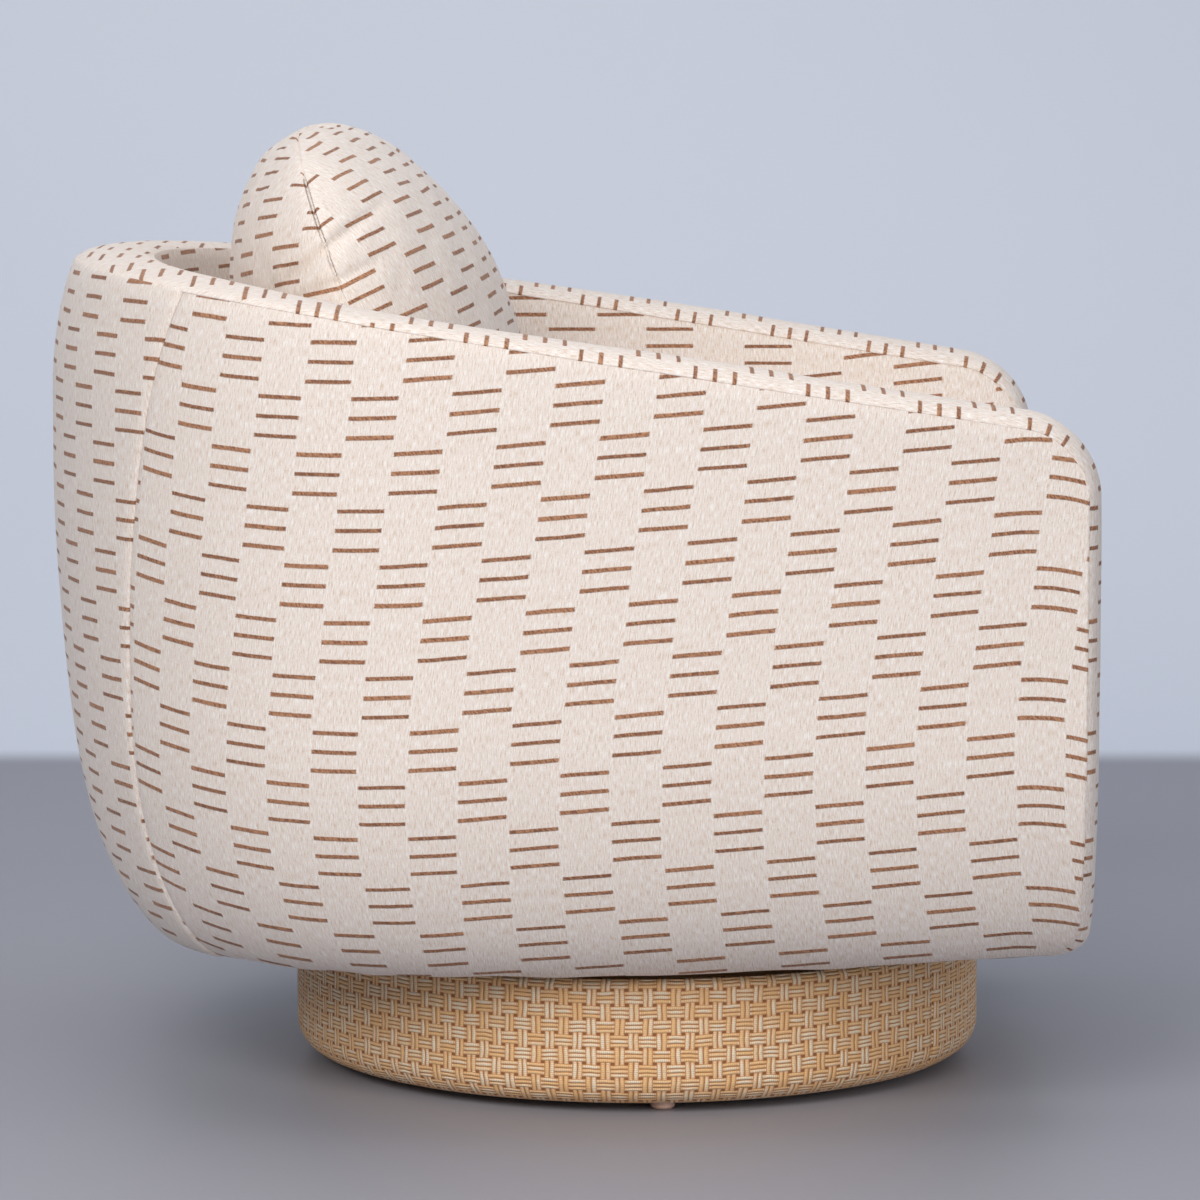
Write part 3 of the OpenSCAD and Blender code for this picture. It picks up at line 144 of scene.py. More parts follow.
class Finish:
    def __init__(self, name, roughness=0.5, **fixed):
        self.material = bpy.data.materials.new(name)
        self.material.use_nodes = True
        self.tree = self.material.node_tree
        self.shader = self.tree.nodes["Principled BSDF"]
        self.shader.inputs["Roughness"].default_value = roughness
        for socket, value in fixed.items():
            self.shader.inputs[socket.replace("_", " ")].default_value = value

    def add(self, kind, settings=None, values=None, output=0):
        node = self.tree.nodes.new("ShaderNode" + kind)
        for name, value in (settings or {}).items():
            setattr(node, name, value)
        for place, value in (values or {}).items():
            plug(self.tree, node.inputs[place], value)
        return Term(self.tree, node.outputs[output])

    def set(self, socket, term):
        plug(self.tree, self.shader.inputs[socket], term)

    def split(self, point, count):
        return [self.add("SeparateXYZ", None, {0: point}, k) for k in range(count)]

    def place(self):
        """The point on the object, as three terms."""
        return self.split(self.add("TexCoord", output="Object"), 3)

    def cloth_place(self):
        """The point on the flat cloth, in metres, as two terms."""
        return self.split(self.add("UVMap", {"uv_map": "cloth"}), 2)

    def noise(self, x, y, z=0.0, detail=2.0, roughness=0.5):
        point = self.add("CombineXYZ", None, {0: x, 1: y, 2: z})
        return self.add("TexNoise", None, {
            "Vector": point, "Scale": 1.0, "Detail": detail, "Roughness": roughness
        })

    def chance(self, x, y, z=0.0):
        """A fixed random value for each whole x and y."""
        point = self.add("CombineXYZ", None, {0: x, 1: y, 2: z})
        return self.add("TexWhiteNoise", {"noise_dimensions": "3D"}, {"Vector": point})

    def step(self, term, low, high):
        """0 below low, 1 above high, and a soft step between them."""
        return self.add("MapRange", {"interpolation_type": "SMOOTHSTEP"}, {
            "Value": term, "From Min": low, "From Max": high
        })

    def mix(self, share, first, second):
        return self.add("Mix", {"data_type": "RGBA"}, {0: share, 6: first, 7: second}, 2)

    def bump(self, height, distance, strength=1.0):
        self.set("Normal", self.add("Bump", None, {
            "Height": height, "Distance": distance, "Strength": strength
        }))


# %% [markdown]
# ## The dash cloth
# The cover is a cream cloth with a fine upright slub. Groups of three brown yarns float
# on its face, and each row of groups is set half a step from the row above. The pattern
# reads the piece's own flat-cloth map, in metres, so it follows each panel as sewn cloth
# does. The yarns stand a little proud of the ground, which is the bump.

# %% Dash cloth
dash_length = 0.0389
dash_width = 0.0033
dash_step = 0.0152
group_step = 0.0816
row_step = 0.0436
first_dash = 0.0066
side_blur, end_blur = 0.0005, 0.0006
ground_tone = (235, 222, 211)
pale_tone = (248, 242, 236)
warm_tone = (216, 194, 174)
light_yarn = (188, 136, 100)
dark_yarn = (128, 84, 60)


def dash_cloth(name):
    cloth = Finish(name, 0.88, Sheen_Weight=0.12, Sheen_Roughness=0.5)
    across, up = cloth.cloth_place()
    fray = cloth.noise(across * 800, up * 800, detail=3.0, roughness=0.65) - 0.5
    weave = cloth.noise(across * 300, up * 300, 3.0) - 0.5
    wander = cloth.noise(across * 30, up * 30, 7.0) - 0.5
    row = (up / row_step).floor()
    shifted = across + row.remainder(2.0) * (group_step / 2)
    beside = ((shifted + group_step / 2).remainder(group_step) - group_step / 2).size()
    above = up - row * row_step + wander * 0.0016
    beyond = ((above - first_dash + dash_step / 2).remainder(dash_step) - dash_step / 2).size()
    column = ((shifted + group_step / 2) / group_step).floor()
    yarn = ((above - first_dash + dash_step / 2) / dash_step).floor()
    own = cloth.chance(column, row, yarn)
    thick = dash_width / 2 * (0.90 + 0.2 * own)
    long = dash_length / 2
    inside = 1 - cloth.step(beyond + fray * 0.0012, thick - side_blur, thick + side_blur)
    within = 1 - cloth.step(beside + fray * 0.0030, long - end_blur, long + end_blur)
    dash = inside * within

    slub = cloth.noise(across * 1050, up * 150, 1.0, detail=3.0)
    broad = cloth.noise(across * 420, up * 60, 5.0, detail=2.0)
    grain = cloth.noise(across * 1500, up * 900, 2.0, detail=1.0)
    streak = slub * 0.6 + broad * 0.15 + grain * 0.25
    tone = cloth.mix(cloth.step(streak, 0.50, 0.62), linear(*ground_tone), linear(*pale_tone))
    tone = cloth.mix(cloth.step(streak, 0.49, 0.36), tone, linear(*warm_tone))
    border = 1 - cloth.step((beside - dash_length / 2 - 0.0012).size(), 0.0004, 0.0018)
    tone = cloth.mix(border * 0.35 * cloth.step(slub, 0.4, 0.6), tone, linear(*pale_tone))

    twist = cloth.noise(across * 700 + up * 500, up * 300, 9.0, detail=3.0)
    shine = cloth.step(twist + (own - 0.5) * 0.10, 0.38, 0.64)
    yarn_tone = cloth.mix(shine, linear(*dark_yarn), linear(*light_yarn))
    cloth.set("Base Color", cloth.mix(dash, tone, yarn_tone))
    cloth.set("Roughness", 0.92 - dash * 0.12)
    height = slub * 0.4 + grain * 0.3 + weave * 0.3 + dash * (1.0 + fray * 1.5)
    cloth.bump(height, 0.00045, 0.8)
    return cloth.material


cover_cloth = dash_cloth("dash_cloth")

# %% [markdown]
# ## The basket cloth on the plinth
# The plinth wears a coarse basket weave: pairs of upright strands cross bundles of three
# level ones, over and under by turns, like a parquet floor. A strand is a rounded ridge,
# so its height is a half sine. It is beaded along its length by its own twist, and it
# takes its own tone of straw or white. Painted shade makes its low sides and the dips
# between its beads tan, and makes the gaps between strands dark.

# %% Basket cloth
pair_step, pair_half = 0.0114, 0.0043
bundle_step, bundle_half = 0.0121, 0.0051
straw, bleached = (252, 206, 146), (255, 240, 210)
# Painted shade colours: the tan for the sides of strands and the dips between beads, and the dark
# gap colour.
painted_shade_tan, gap_shade = (224, 158, 100), (152, 98, 58)
bead_step = 0.0016


def basket_cloth(name):
    basket = Finish(name, 0.72, Sheen_Weight=0.1, Sheen_Roughness=0.5)
    around, up = basket.cloth_place()
    sway = basket.noise(around * 40, up * 40, 2.0) - 0.5
    drift = basket.noise(around * 40, up * 40, 8.0) - 0.5
    around, up = around + sway * 0.0030, up + drift * 0.0030
    column, row = (around / pair_step).floor(), (up / bundle_step).floor()
    beside = around - (column + 0.5) * pair_step
    above = up - (row + 0.5) * bundle_step
    upright = (column + row).remainder(2.0)
    in_pair = 1 - basket.step(beside.size(), pair_half - 0.0003, pair_half + 0.0003)
    in_bundle = 1 - basket.step(above.size(), bundle_half - 0.0003, bundle_half + 0.0003)
    show_pair = in_pair * (1 - (1 - upright) * in_bundle)
    show_bundle = in_bundle * (1 - upright * in_pair)
    ridge_pair = (beside / pair_half * math.pi).sine().size()
    ridge_bundle = ((above / bundle_half + 1) * (1.5 * math.pi)).sine().size()
    arch_pair = (1.3 - (above / bundle_step).size() * 1.2)
    arch_bundle = (1.3 - (beside / pair_step).size() * 1.2)
    height = show_pair * ridge_pair * arch_pair + show_bundle * ridge_bundle * arch_bundle
    pair_strand = (beside / pair_half).floor()
    bundle_strand = ((above / bundle_half + 1) * 1.5).floor()
    strand = show_pair * pair_strand + show_bundle * bundle_strand
    bead_pair = (up / bead_step * math.pi).sine().size()
    bead_bundle = (around / bead_step * math.pi).sine().size()
    bead = show_pair * bead_pair + show_bundle * bead_bundle
    own = basket.chance(column, row + 40 * show_pair, strand)
    fleck = basket.noise(around * 700, up * 700, 4.0, detail=3.0)
    pale = basket.step(own * 0.6 + fleck * 0.8, 0.5, 0.95)
    tone = basket.mix(pale, linear(*straw), linear(*bleached))
    # Painted shade: the low sides of each strand are mixed towards tan.
    tone = basket.mix((1 - basket.step(height, 0.35, 0.85)) * 0.8, tone, linear(*painted_shade_tan))
    # Painted shade: the dips between the beads are mixed towards tan.
    tone = basket.mix((1 - basket.step(bead, 0.1, 0.7)) * 0.55, tone, linear(*painted_shade_tan))
    # Painted shade: the gaps between strands, where the height is near zero, are painted dark.
    tone = basket.mix(1 - basket.step(height, 0.02, 0.30), tone, linear(*gap_shade))
    basket.set("Base Color", tone)
    basket.set("Roughness", 0.82 - basket.step(height, 0.1, 0.8) * 0.2)
    basket.bump(height * (0.75 + bead * 0.25) + fleck * 0.2, 0.0012, 0.8)
    return basket.material


plinth_cloth = basket_cloth("basket_cloth")

# %% [markdown]
# ## Wood, board and foam
# The frame is hidden when the chair is whole, but it shows when the chair is opened, so
# it gets real finishes: plywood with long grain, fibreboard with short flecks, foam with
# fine pores, and polyester wadding with soft loops.


# %% Wood and board
def wood(name, light, dark, length_way=1, tight=90.0, gloss=0.62):
    board = Finish(name, gloss)
    point = board.place()
    stretch = [tight, tight, tight]
    stretch[length_way] = tight / 14
    warp = board.noise(point[0] * 5, point[1] * 5, point[2] * 5) - 0.5
    x, y, z = (p * s + warp * 3 for p, s in zip(point, stretch))
    grain = board.noise(x, y, z, detail=5.0, roughness=0.6)
    ring = ((grain * 9).sine() * 0.5 + 0.5)
    pore = board.noise(x * 5, y * 5, z * 5, detail=2.0)
    share = board.step(ring * 0.7 + pore * 0.3, 0.25, 0.8)
    board.set("Base Color", board.mix(share, linear(*dark), linear(*light)))
    board.set("Roughness", gloss + (1 - share) * 0.12)
    board.bump(share * 0.6 + pore * 0.4, 0.0004, 0.6)
    return board.material


plywood = wood("birch_plywood", (222, 190, 146), (186, 146, 100))
hardwood = wood("beech_rail", (206, 160, 112), (168, 118, 76), 0)


def speckled(name, light, dark, grain_size, depth, roughness=0.9):
    """Foam, fibreboard or wadding: a soft speckle of two tones."""
    finish = Finish(name, roughness)
    x, y, z = finish.place()
    fine = finish.noise(x / grain_size, y / grain_size, z / grain_size, 3.0, 0.6)
    wide = finish.noise(x * 14, y * 14, z * 14)
    share = finish.step(fine * 0.75 + wide * 0.25, 0.36, 0.64)
    finish.set("Base Color", finish.mix(share, linear(*dark), linear(*light)))
    finish.bump(fine, depth, 0.8)
    return finish.material


fibreboard = speckled("fibreboard", (164, 122, 84), (120, 82, 52), 0.0016, 0.0002, 0.75)
foam = speckled("seat_foam", (240, 228, 178), (216, 198, 140), 0.0012, 0.0006)
wadding = speckled("wadding", (247, 246, 242), (226, 224, 218), 0.0050, 0.0012, 0.95)
black_cloth = speckled("black_lining", (34, 34, 36), (16, 16, 18), 0.0009, 0.0003, 0.95)


# %% [markdown]
# ## Steel, brass, nylon and rubber
# Bright parts are zinc plated, and plating has faint clouds of its own. The springs are
# tempered wire with a dark oxide skin. Roughness varies a little over each, because a
# metal that shines evenly looks like plastic.

# %% Metals and plastics
def metal(name, light, dark, roughness, clouds=24.0):
    steel = Finish(name, roughness, Metallic=1.0)
    x, y, z = steel.place()
    cloud = steel.noise(x * clouds, y * clouds, z * clouds, 4.0, 0.6)
    scratch = steel.noise(x * 40, y * 900, z * 900, 2.0)
    steel.set("Base Color", steel.mix(steel.step(cloud, 0.3, 0.7), linear(*dark), linear(*light)))
    steel.set("Roughness", roughness - 0.1 + cloud * 0.2 + scratch * 0.08)
    steel.bump(scratch, 0.00004, 0.4)
    return steel.material


zinc = metal("zinc_plate", (214, 216, 218), (176, 178, 182), 0.32)
plate_steel = metal("rolled_steel", (150, 152, 156), (112, 114, 118), 0.45, 12.0)
brass = metal("cage_brass", (206, 178, 112), (170, 138, 78), 0.38)
wire = metal("spring_wire", (62, 63, 66), (38, 38, 40), 0.42)


def moulded(name, tone, worn, roughness=0.5):
    plastic = Finish(name, roughness)
    x, y, z = plastic.place()
    mottle = plastic.noise(x * 60, y * 60, z * 60, 4.0)
    grit = plastic.noise(x * 1500, y * 1500, z * 1500)
    share = plastic.step(mottle, 0.35, 0.75)
    plastic.set("Base Color", plastic.mix(share, linear(*tone), linear(*worn)))
    plastic.set("Roughness", roughness + (mottle - 0.5) * 0.2)
    plastic.bump(grit, 0.00008, 0.5)
    return plastic.material


glide_nylon = moulded("glide_nylon", (224, 186, 166), (206, 164, 142), 0.45)
black_nylon = moulded("black_nylon", (36, 36, 38), (52, 52, 54))
natural_nylon = moulded("natural_nylon", (232, 226, 206), (220, 210, 184))
rubber = moulded("black_rubber", (30, 30, 30), (48, 46, 44), 0.8)

# %% Give the CAD pieces their finishes
node_finishes = {
    glide_nylon: ["glides"],
    zinc: ["glide_screws", "base_bolts", "base_tee_nuts", "bracket_bolts", "mount_bolts",
           "mount_nuts", "bearing_balls", "rocker_shaft"],
    plate_steel: ["swivel_lower_plate", "swivel_upper_plate", "pivot_brackets",
                  "rocker_top_plate", "spring_clips", "king_pin"],
    wire: ["shaft_clips", "seat_springs"],
    brass: ["ball_cage"],
    rubber: ["rock_stops"],
    black_nylon: ["spring_seats", "spring_caps"],
    natural_nylon: ["pivot_bushings"],
    plywood: ["plinth_bottom_ring", "plinth_wall", "plinth_top_board", "bottom_frame",
              "seat_board", "ribs", "arm_front_posts"],
    hardwood: ["plinth_blocks", "stringers", "front_rail", "seat_rail", "rim_rail"],
    fibreboard: ["arm_outer_boards", "back_outer_board", "inner_board"],
}
for material, names in node_finishes.items():
    for name in names:
        nodes[name].data.materials.clear()
        nodes[name].data.materials.append(material)
print("finished CAD pieces:", sum(len(names) for names in node_finishes.values()))

# %% [markdown]
# ## The form of the shell
# All covers lie on one surface. Seen from above, its plan is a straight-sided tub with a
# round back. The side swells and then curls under towards the plinth, and the rim slopes
# down to the arm fronts. The functions below give a point of that surface, in
# millimetres, from `t` along the plan (0 at the middle of the back, 1 at the left arm
# front) and `v` down the side (0 at the rim, 1 at the lower edge). They measure from the
# swivel axis, which stands 64.1 mm ahead of the shared origin.

# %% Plan and profile
half_width, turn_reach, back_bow, arm_reach, front_taper = 415, 134, 357, 350, 36
rim_height, rim_rise, rim_ease, rim_ease_reach = 612, 78, 9, 200
wall, arm_round, foot_round = 66, 50, 28
lip_height, lip_rise, side_tuck, back_tuck = 117, 12, 114, 82
side_belly, back_belly, inner_foot, deck_height = 330, 520, 310.9, 320
arm_swell, back_swell = 8, 84
turn_share, plan_power, taper_power = 0.52, 2.12, 2.2
back_y = turn_reach + back_bow
front_run = turn_reach + arm_reach
cloth = 1.5
axis_y = -64.1


def metres(point):
    """A point in mm about the swivel axis, as a point in metres in the shared frame."""
    return Vector((point[0], point[1] + axis_y, point[2])) / 1000


def mix(a, b, share):
    return a + (b - a) * share


def side_share(t):
    return (abs(t) - turn_share) / (1 - turn_share)


def plan(t):
    side = math.copysign(1, t)
    if abs(t) < turn_share:
        a = math.radians(90 * abs(t) / turn_share)
        return (side * half_width * math.sin(a) ** (2 / plan_power),
                turn_reach + back_bow * math.cos(a) ** (2 / plan_power))
    k = min(1, side_share(t))
    return (side * (half_width - front_taper * k ** taper_power),
            turn_reach - front_run * side_share(t))


def way(t):
    """The level direction outwards at t."""
    side = math.copysign(1, t)
    if abs(t) < turn_share:
        a, power = math.radians(90 * abs(t) / turn_share), 2 * (plan_power - 1) / plan_power
        x, y = math.sin(a) ** power / half_width, math.cos(a) ** power / back_bow
        return side * x / math.hypot(x, y), y / math.hypot(x, y)
    k = min(1, side_share(t))
    a = math.atan(front_taper * taper_power * k ** (taper_power - 1) / front_run) * (1 - k * k)
    return side * math.cos(a), -math.sin(a)


def corner_fall(y, radius):
    e = min(radius, max(0, radius - arm_reach - y))
    return radius - math.sqrt(radius * radius - e * e)


def rim_z(y):
    ease = max(0, (y - rim_ease_reach) / (back_y - rim_ease_reach)) ** 2
    return rim_height + rim_rise / back_y * y - rim_ease * ease - corner_fall(y, arm_round)


def lip_line(y):
    start = lip_height * 0.256
    return lip_height + lip_rise * max(0, (start - y) / (start + arm_reach)) ** 1.3


def lip_z(y):
    return lip_line(y) + corner_fall(y, foot_round)


def side_inset(y, z):
    x = max(0, min(1, (side_belly - z) / (side_belly - lip_line(y))))
    top = max(0, (z - (rim_height - wall * 0.77)) / (wall * 1.6))
    return side_tuck * (1 - math.sqrt(1 - x * x)) + wall / 11 * top ** 2


def back_inset(y, z):
    x = max(0, min(1, (back_belly - z) / (back_belly - lip_line(y))))
    top = max(0, (z - (rim_height - wall * 0.62)) / (wall * 1.6))
    return back_tuck * (0.56 * x ** 2 + 0.44 * x ** 8) + wall * 0.27 * top ** 2


def back_part(t):
    return max(0, way(t)[1]) ** 3


def inset(t, z):
    y = plan(t)[1]
    return mix(side_inset(y, z), back_inset(y, z), back_part(t))


def height_at(t, v):
    y = plan(t)[1]
    return mix(rim_z(y), lip_z(y), math.sin(math.pi / 2 * v))


def level(t, x, z):
    """The point at height z that lies x inside the plan."""
    (px, py), (wx, wy) = plan(t), way(t)
    return Vector((px - wx * x, py - wy * x, z))


def outer(t, v, depth=0.0):
    """A point of the outer surface, or one that lies depth under it."""
    low, high = max(0, v - 0.01), min(1, v + 0.01)
    z0, z1, z = height_at(t, low), height_at(t, high), height_at(t, v)
    dx, dz = inset(t, z1) - inset(t, z0), z1 - z0
    long = math.hypot(dx, dz)
    return level(t, inset(t, z) - depth * dz / long, z + depth * dx / long)


def rim_inset(t):
    return inset(t, rim_z(plan(t)[1]))


def inner_z(t, w):
    return mix(rim_z(plan(t)[1]), inner_foot, w)


def inner_ease(w):
    """0 at the rim, and 1 from a little over half way down, where the foam has its full depth."""
    s = min(1, w / 0.55)
    return s * s * (3 - 2 * s)


def inner(t, w, depth=0.0):
    """A point of the inside surface: w is 0 at the rim and 1 at the deck."""
    ease = inner_ease(w)
    x = wall + rim_inset(t) * (1 - ease) + ease * mix(arm_swell, back_swell, back_part(t))
    return level(t, x - depth, inner_z(t, w))


# %% Seams and corners of the panels
def seam_t(v):
    """Where the arm panel meets the back panel: the seam leans forward at the rim."""
    return 0.222 + 0.07 * (1 - v) ** 5


def stop_t(gap):
    return turn_share + (1 - turn_share) * (1 - gap / front_run)


def front_t(share):
    """t over the last stretch to the arm front, where its corners are round."""
    return stop_t(arm_round * (1 - math.sin(math.pi / 2 * share)))


def length_table(function, count=400):
    """Running length, in mm, along a curve of plan points, to lay cloth on it."""
    lengths, last = [0.0], function(0)
    for k in range(1, count + 1):
        point = function(k / count)
        lengths.append(lengths[-1] + (point - last).length)
        last = point
    return lambda share: lengths[max(0, min(count, round(share * count)))]


girth = length_table(lambda t: level(t, 0, 0), 2000)
print("half the shell's girth, mm:", round(girth(1)))

# %% [markdown]
# ## Cutting and laying the cloth panels
# Each panel starts as a flat grid, which is how cloth starts too, and every point of the
# grid is then moved to its place on the shell. The grid has extra lines close to its
# edges, where a sewn panel turns in towards its seam. The map named `cloth` keeps where
# each point lay on the flat cloth, so the pattern is cut from one bolt and follows the
# panel.


# %% Grid panels
def lines(count, edge=0.0035):
    """Places from 0 to 1: even ones, and close ones at both ends."""
    close = [0, edge * 0.35, edge]
    even = [edge + (1 - 2 * edge) * k / count for k in range(1, count)]
    return close + even + [1 - k for k in reversed(close)]


def new_object(name, bm, material=None, body="seat"):
    for face in bm.faces:
        face.smooth = True
    mesh = bpy.data.meshes.new(name)
    bm.to_mesh(mesh)
    bm.free()
    piece = bpy.data.objects.new(name, mesh)
    bpy.context.collection.objects.link(piece)
    if material:
        mesh.materials.append(material)
    if body:
        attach(piece, body)
    return piece


def grid_panel(name, across, along, place, lay, material, body="seat", outside=1, closed=False):
    """A sheet of cloth: `place` gives a point in mm and `lay` the same point on the flat cloth."""
    bm = bmesh.new()
    bmesh.ops.create_grid(bm, x_segments=len(across) - 1, y_segments=len(along) - 1, size=0.5)
    spots = {}
    for vert in bm.verts:
        column = round((vert.co.x + 0.5) * (len(across) - 1))
        row = round((vert.co.y + 0.5) * (len(along) - 1))
        spots[vert.index] = (across[column], along[row])
    layer = bm.loops.layers.uv.new("cloth")
    for face in bm.faces:
        for loop in face.loops:
            loop[layer].uv = [c / 1000 for c in lay(*spots[loop.vert.index])]
    for vert in bm.verts:
        vert.co = metres(place(*spots[vert.index]))
    if closed:
        bmesh.ops.remove_doubles(bm, verts=bm.verts, dist=0.00002)
    if outside < 0:
        bmesh.ops.reverse_faces(bm, faces=bm.faces)
    piece = new_object(name, bm, material, body)
    thick = piece.modifiers.new("cloth_thickness", "SOLIDIFY")
    thick.thickness = cloth / 1000
    thick.offset = -1
    return piece


def seam_roll(s, length, reach=4.0, depth=2.2):
    """How deep a panel turns in close to its seams, at share s of its length in mm."""
    near = min(s, 1 - s) * length
    return depth * max(0, 1 - near / reach) ** 2


def hand(x, y, z, size=0.7, grain=130.0):
    """The small unevenness of stuffing under cloth, in mm."""
    return size * noise.noise(Vector((x, y, z)) / grain)


# %% [markdown]
# ## Outside arms and outside back
# The outside cover is three panels, with a plain seam down each side where the shell
# turns into its back. The rows of dashes run level on the back. On the arms the cloth
# was pulled, so there the rows climb by a few degrees towards the front and drop again
# at the arm front.

# %% Outside panels
rows_up = lines(64)
arm_length = girth(1) - girth(0.222)
corner_from, corner_part = 0.93, 0.07
pattern_start = (59, 43)
row_climb, column_lean, back_stretch = 28.9, 27.5, 12
low_lean, low_lean_back, low_sag = 27.4, 12.7, 6.1
front_dip, dip_share, back_bend, bend_share = 60, 0.19, 505, 0.04


def arm_t(s, start):
    """t on an arm panel, for s from 0 at its back seam to 1 at the arm front and its corner."""
    turn = max(0, (s - corner_from) / corner_part)
    return front_t(turn) if turn else mix(start, stop_t(arm_round), min(1, s / corner_from))


def arm_place(side, s, v):
    t = arm_t(s, seam_t(v))
    depth = seam_roll(s, arm_length) + seam_roll(v, 560)
    point = outer(side * t, v, depth)
    point.z += lip_wave(side * girth(t)) * max(0, 6 * v - 5) ** 2
    return point + Vector((*way(side * t), 0)) * hand(*point)


def lip_wave(run):
    """The lower edge is tacked by hand, so it wanders a little up and down."""
    return 3.2 * noise.noise(Vector((run / 55, 0.4, 0)))


def arm_lay(side, s, v):
    """The cloth was pulled as it was nailed: rows climb, columns lean, and both sag low down."""
    t = arm_t(s, seam_t(v))
    a = girth(1) - girth(t)
    z = height_at(t, v)
    back, up = (a - 350) / 350, (z - 380) / 200
    low = max(0, -up) ** 2
    dip, bend = max(0, front_dip - a) ** 2 / 60, max(0, a - back_bend) ** 2 / 100
    across = a + pattern_start[0] + back_stretch * back + column_lean * up
    across += (low_lean - low_lean_back * back) * low
    height = z + pattern_start[1] + row_climb * back - low_sag * low
    return side * across, height + dip_share * dip - bend_share * bend


def back_place(s, v):
    t = seam_t(v) * (2 * s - 1)
    depth = seam_roll(s, 2 * girth(0.23)) + seam_roll(v, 560)
    point = outer(t, v, depth)
    return point + Vector((*way(t), 0)) * hand(*point)


def back_lay(s, v):
    t = seam_t(v) * (2 * s - 1)
    return math.copysign(girth(abs(t)), t) + 12, height_at(t, v) + 20


for side, which in ((-1, "right"), (1, "left")):
    panel = grid_panel(
        "outside_arm_cover_" + which, lines(104), rows_up,
        lambda s, v, side=side: arm_place(side, s, v),
        lambda s, v, side=side: arm_lay(side, s, v), cover_cloth, outside=side,
    )
    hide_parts("outside_arm_" + which)
panel = grid_panel(
    "outside_back_cover", lines(72), rows_up, back_place, back_lay, cover_cloth, outside=-1)
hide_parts("outside_back")

# %% [markdown]
# ## Inside arms and inside back
# These panels cover the foam inside the tub, from the rim down to the deck. They are
# fuller than the outside ones and swell by a few millimetres between their seams.


# %% Inside panels
def inner_point(t, w, seam_depth):
    swell = 3.0 * math.sin(math.pi * min(1, w * 1.4)) if w < 0.71 else 0
    point = inner(t, w, seam_depth - swell)
    point.z = min(point.z, inner_z(t, w))
    return point


inside_seam = seam_t(0.5)


def inside_roll(s, length, w):
    return seam_roll(s, length, 6, 3) + seam_roll(w, 300, 5, 2.5)


def inside_arm_place(side, s, w):
    return inner_point(side * arm_t(s, inside_seam), w, inside_roll(s, arm_length, w))


def inside_arm_lay(side, s, w):
    t = arm_t(s, inside_seam)
    a = girth(1) - girth(t)
    return -side * a * 0.9, inner_z(t, w) + 8 - 0.12 * max(0, 198 - a)


def inside_back_place(s, w):
    t = inside_seam * (2 * s - 1)
    return inner_point(t, w, inside_roll(s, 2 * girth(0.22), w))


def inside_back_lay(s, w):
    t = inside_seam * (2 * s - 1)
    return math.copysign(girth(abs(t)), t) * 0.8, inner_z(t, w)


rows_down = lines(40)
for side, which in ((-1, "right"), (1, "left")):
    panel = grid_panel(
        "inside_arm_cover_" + which, lines(88), rows_down,
        lambda s, w, side=side: inside_arm_place(side, s, w),
        lambda s, w, side=side: inside_arm_lay(side, s, w), cover_cloth, outside=-side,
    )
    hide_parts("inside_arm_" + which)
panel = grid_panel(
    "inside_back_cover", lines(64), rows_down, inside_back_place, inside_back_lay, cover_cloth)
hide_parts("inside_back")

# %% [markdown]
# ## The rim band
# One strip runs up an arm front, round the whole rim and down the other arm front. It is
# 66 mm wide and crowned over wadding, and both its edges are plain seams. Its path is
# the middle of the wall's edge; across the path it is a shallow bow. On the arms the cloth
# runs with the band. Round the back the piece is cut with one straight grain.

# %% Rim band
band_half = wall / 2
band_crown, back_crown = 11, 6
band_start, band_stretch = (-41.2, 12.5), 0.9858


def edge_station(q):
    """The wall's edge as (t, v): q is 0 at the foot of an arm front and 1 behind the sitter."""
    foot, front, corner = 0.022, 0.34, 0.40
    if q < foot:
        return stop_t(foot_round * (1 - math.sin(math.pi / 2 * q / foot))), 1
    if q < front:
        return 1, 1 - (q - foot) / (front - foot)
    if q < corner:
        return front_t(1 - (q - front) / (corner - front)), 0
    return mix(stop_t(arm_round), 0, (q - corner) / (1 - corner)), 0


def edge_middle(side, q):
    t, v = edge_station(q)
    z = height_at(t, v)
    return level(side * t, inset(t, z) + band_half, z)


edge_count = 1400
edge_side = [edge_middle(1, k / edge_count) for k in range(edge_count + 1)]
edge_path = edge_side + [Vector((-p.x, p.y, p.z)) for p in reversed(edge_side[:-1])]
edge_ways = [way(edge_station(k / edge_count)[0]) for k in range(edge_count + 1)]
edge_ways += [(-w[0], w[1]) for w in reversed(edge_ways[:-1])]
edge_run = [0.0]
for first, second in zip(edge_path, edge_path[1:]):
    edge_run.append(edge_run[-1] + (second - first).length)
edge_whole = edge_run[-1]
print("rim band's length, mm:", round(edge_whole))


def edge_at(share):
    """The place, the outward way across and the way up from the edge, at a share of its length."""
    want, low, high = share * edge_whole, 0, len(edge_run) - 1
    while high - low > 1:
        middle = (low + high) // 2
        low, high = (middle, high) if edge_run[middle] <= want else (low, middle)
    part = (want - edge_run[low]) / max(1e-6, edge_run[high] - edge_run[low])
    before, after = edge_path[max(0, low - 6)], edge_path[min(len(edge_path) - 1, high + 6)]
    across = Vector((*edge_ways[low], 0)).lerp(Vector((*edge_ways[high], 0)), part)
    up = across.cross(after - before).normalized()
    return edge_path[low].lerp(edge_path[high], part), across, up


def band_point(share, c, lift=0.0):
    """c runs from -1 at the inner seam to 1 at the outer seam."""
    middle, across, up = edge_at(share)
    behind = max(0, min(1, (middle.y + 20) / 250))
    from_end = min(share, 1 - share) * edge_whole
    crown = mix(band_crown, back_crown, behind) * max(0.05, min(1, (from_end - 10) / 45))
    return middle + across * band_half * c + up * (crown * (1 - abs(c) ** 2.2) + lift)


band_lines = sorted(set(lines(20, 0.03)))


